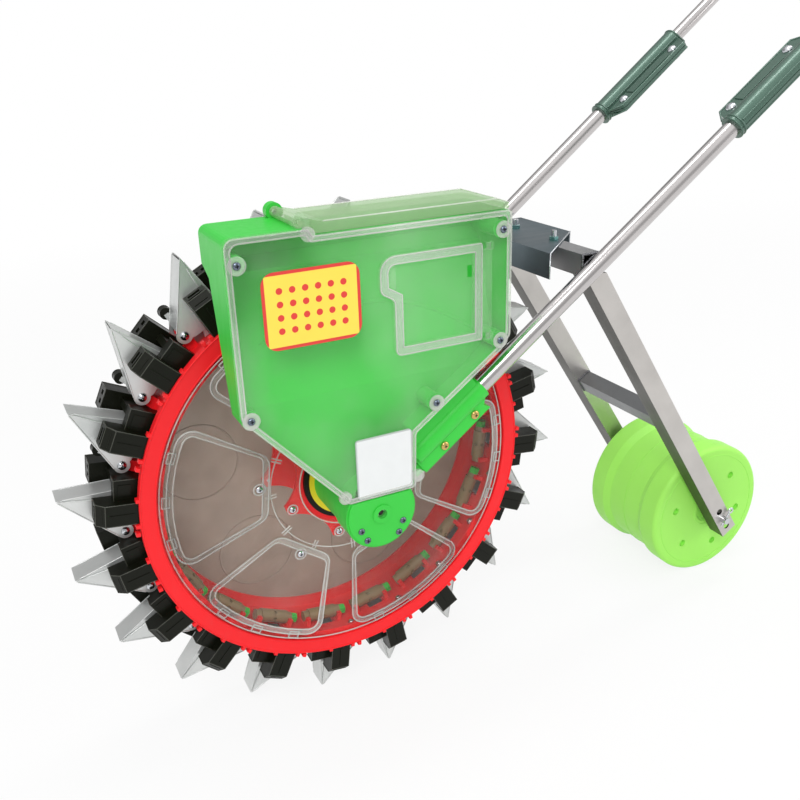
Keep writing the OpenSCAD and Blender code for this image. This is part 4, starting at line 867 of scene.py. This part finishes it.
# rear frame: welds where the bars meet, and the bright cut edge of the channel
leg = {"crossbar": (273.93, 206.42), "slope": 57.3, "in": 73.186, "out": 97.186, "brace": 260.0, "half": 10.0,
       "weldR": 1.7, "top": (-6.6, 11.5), "topDrop": 12.0, "sideLen": 9.0, "sideOff": 5.5, "proud": 0.2,
       "barHalf": 11.5, "seeds": (3, 5)}
barX, barZ = leg["crossbar"]
legTurnM = (frameTurn @ Matrix.Translation(Vector((barX, 0, barZ)) * mm)
            @ Matrix.Rotation(math.radians(leg["slope"]), 4, "Y"))
square = [(-1, -1), (1, -1), (1, 1), (-1, 1)]
braceWelds = [([(leg["brace"] + leg["half"] * u, y, leg["half"] * v) for u, v in square], True)
              for y in (-leg["in"], leg["in"])]
carry(weld("braceWelds", braceWelds, leg["weldR"], "weld", legTurnM, leg["seeds"][0]), "frame")
slope = math.radians(handleSpec["slope"])
front, back = leg["top"]
weldY = -leg["out"] - leg["proud"]
legTop = [(barX + d, y, barZ - leg["topDrop"])
          for d, y in ((front, -leg["out"]), (front, -leg["in"]), (back, -leg["in"]), (back, -leg["out"]))]
sideEnds = (-leg["sideLen"], leg["sideLen"])
tubeSide = [([(barX + math.cos(slope) * d - math.sin(slope) * o, weldY,
               barZ + math.sin(slope) * d + math.cos(slope) * o) for d in sideEnds], False)
            for o in (-leg["sideOff"], leg["sideOff"])]
barEnd = [(barX + u * leg["barHalf"], weldY, barZ + v * leg["barHalf"]) for u, v in ((-1, -1), (-1, 1), (1, 1))]
barWelds = [(legTop, True), (barEnd, False)] + tubeSide
carry(weld("barWelds", barWelds, leg["weldR"], "weld", frameTurn, leg["seeds"][1]), "frame")
channel = {"reach": 42.0, "ends": (-82.0, -4.0), "foot": -13.6, "top": 14.0, "beadR": 0.7}
(frontY, backY), reach = channel["ends"], channel["reach"]
cutEnd = [(barX - reach, frontY, barZ + channel["foot"]), (barX - reach, frontY, barZ + channel["top"]),
          (barX + reach, backY, barZ + channel["top"]), (barX + reach, backY, barZ + channel["foot"])]
carry(bead("channelEdge", [(cutEnd, False)], channel["beadR"], "screw", frameTurn), "frame")

# press wheel: parting line and moulded shoulder lines
press = {"barrel": 87.0, "shoulder": 80.0, "hub": 22.0, "half": 67.0, "lineR": 0.5, "sides": 120}
pressLines = [(circlePath(press["barrel"], 0, press["sides"]), True)]
pressLines += [(circlePath(r, y, press["sides"]), True)
               for r in (press["shoulder"], press["hub"]) for y in (-press["half"], press["half"])]
carry(bead("pressLines", pressLines, press["lineR"], "lime", Matrix.Translation(pressAxle)),
      "press_wheel")
print("rear frame detailed")

# plain pale floor, white to the camera, soft light, and walls that only gloss shows;
# each lamp has its place, aim and size in metres, and its watts
stageSpec = {"size": 60, "floor": (0.86, 0.86, 0.86), "white": 0.86, "fadeFrom": 1.2, "fadeOver": 1.6,
             "sky": 0.6,
             "lamps": {"keyLight": ((-1.6, -2.2, 2.7), (0, 0, 0.35), (1.6, 1.6), 54),
                       "fillLight": ((2.4, -1.5, 1.7), (0, 0, 0.35), (1.6, 1.6), 20),
                       "topLight": ((0.5, 0.1, 2.9), (0.5, 0.1, 0), (2.6, 0.5), 26)},
             "behind": {"dark": 0.62, "y": (0.25, 0.6), "foot": (-0.02, 0.08), "top": (0.82, 0.64)},
             "before": {"dark": 0.45, "y": (-0.25, -0.6), "top": (0.6, 0.4)}}


def seenRays(net):
    path = net.tree.nodes.new("ShaderNodeLightPath")
    rays = [Val(net, path.outputs[k]) for k in ("Is Camera Ray", "Is Glossy Ray", "Is Transmission Ray")]
    return net.node("ShaderNodeMath", {"operation": "ADD", "use_clamp": True},
                    {0: rays[0] + rays[1], 1: rays[2]})


def makeStage(spec):
    half = spec["size"] / 2
    corners = [(-half, -half, 0), (half, -half, 0), (half, half, 0), (-half, half, 0)]
    floor = newObject("floor", corners, (), [(0, 1, 2, 3)])
    f = Finish("paleFloor")
    x, y, z = f.parts(f.place())
    far = ((x * x + y * y) ** 0.5).ramp(spec["fadeFrom"], spec["fadeFrom"] + spec["fadeOver"])
    matt = f.node("ShaderNodeBsdfDiffuse", None, {"Color": rgba(spec["floor"])})
    glow = f.node("ShaderNodeEmission", None, {"Color": (1, 1, 1, 1), "Strength": 1.0})
    amount = seenRays(f) * (spec["white"] + far * (1 - spec["white"]))
    floor.data.materials.append(f.done(f.node("ShaderNodeMixShader", None, {0: amount, 1: matt, 2: glow})))
    world = bpy.data.worlds.new("studio")
    world.use_nodes = True
    sky = Net()
    sky.tree = world.node_tree
    x, y, z = sky.parts(sky.node("ShaderNodeTexCoord", out="Generated"))
    rear, front = spec["behind"], spec["before"]
    behind = y.ramp(*rear["y"]) * z.ramp(*rear["foot"]) * z.ramp(*rear["top"])
    before = y.ramp(*front["y"]) * z.ramp(*front["top"])
    gloss = sky.node("ShaderNodeLightPath", out="Is Glossy Ray")
    wall = gloss * (behind * rear["dark"] + before * front["dark"])
    level = spec["sky"] + seenRays(sky) * (1 - spec["sky"]) - wall
    sky.tree.links.new(level.socket, sky.tree.nodes["Background"].inputs["Strength"])
    sky.tree.nodes["Background"].inputs["Color"].default_value = (1, 1, 1, 1)
    bpy.context.scene.world = world
    for name, (place, aim, size, power) in spec["lamps"].items():
        data = bpy.data.lights.new(name, "AREA")
        data.shape, data.energy = "RECTANGLE", power
        data.size, data.size_y = size
        lamp = bpy.data.objects.new(name, data)
        lamp.location = place
        lamp.rotation_euler = (Vector(aim) - Vector(place)).to_track_quat("-Z", "Y").to_euler()
        bpy.context.scene.collection.objects.link(lamp)
    bpy.context.scene.view_settings.view_transform = "Standard"


makeStage(stageSpec)
print("stage ready")
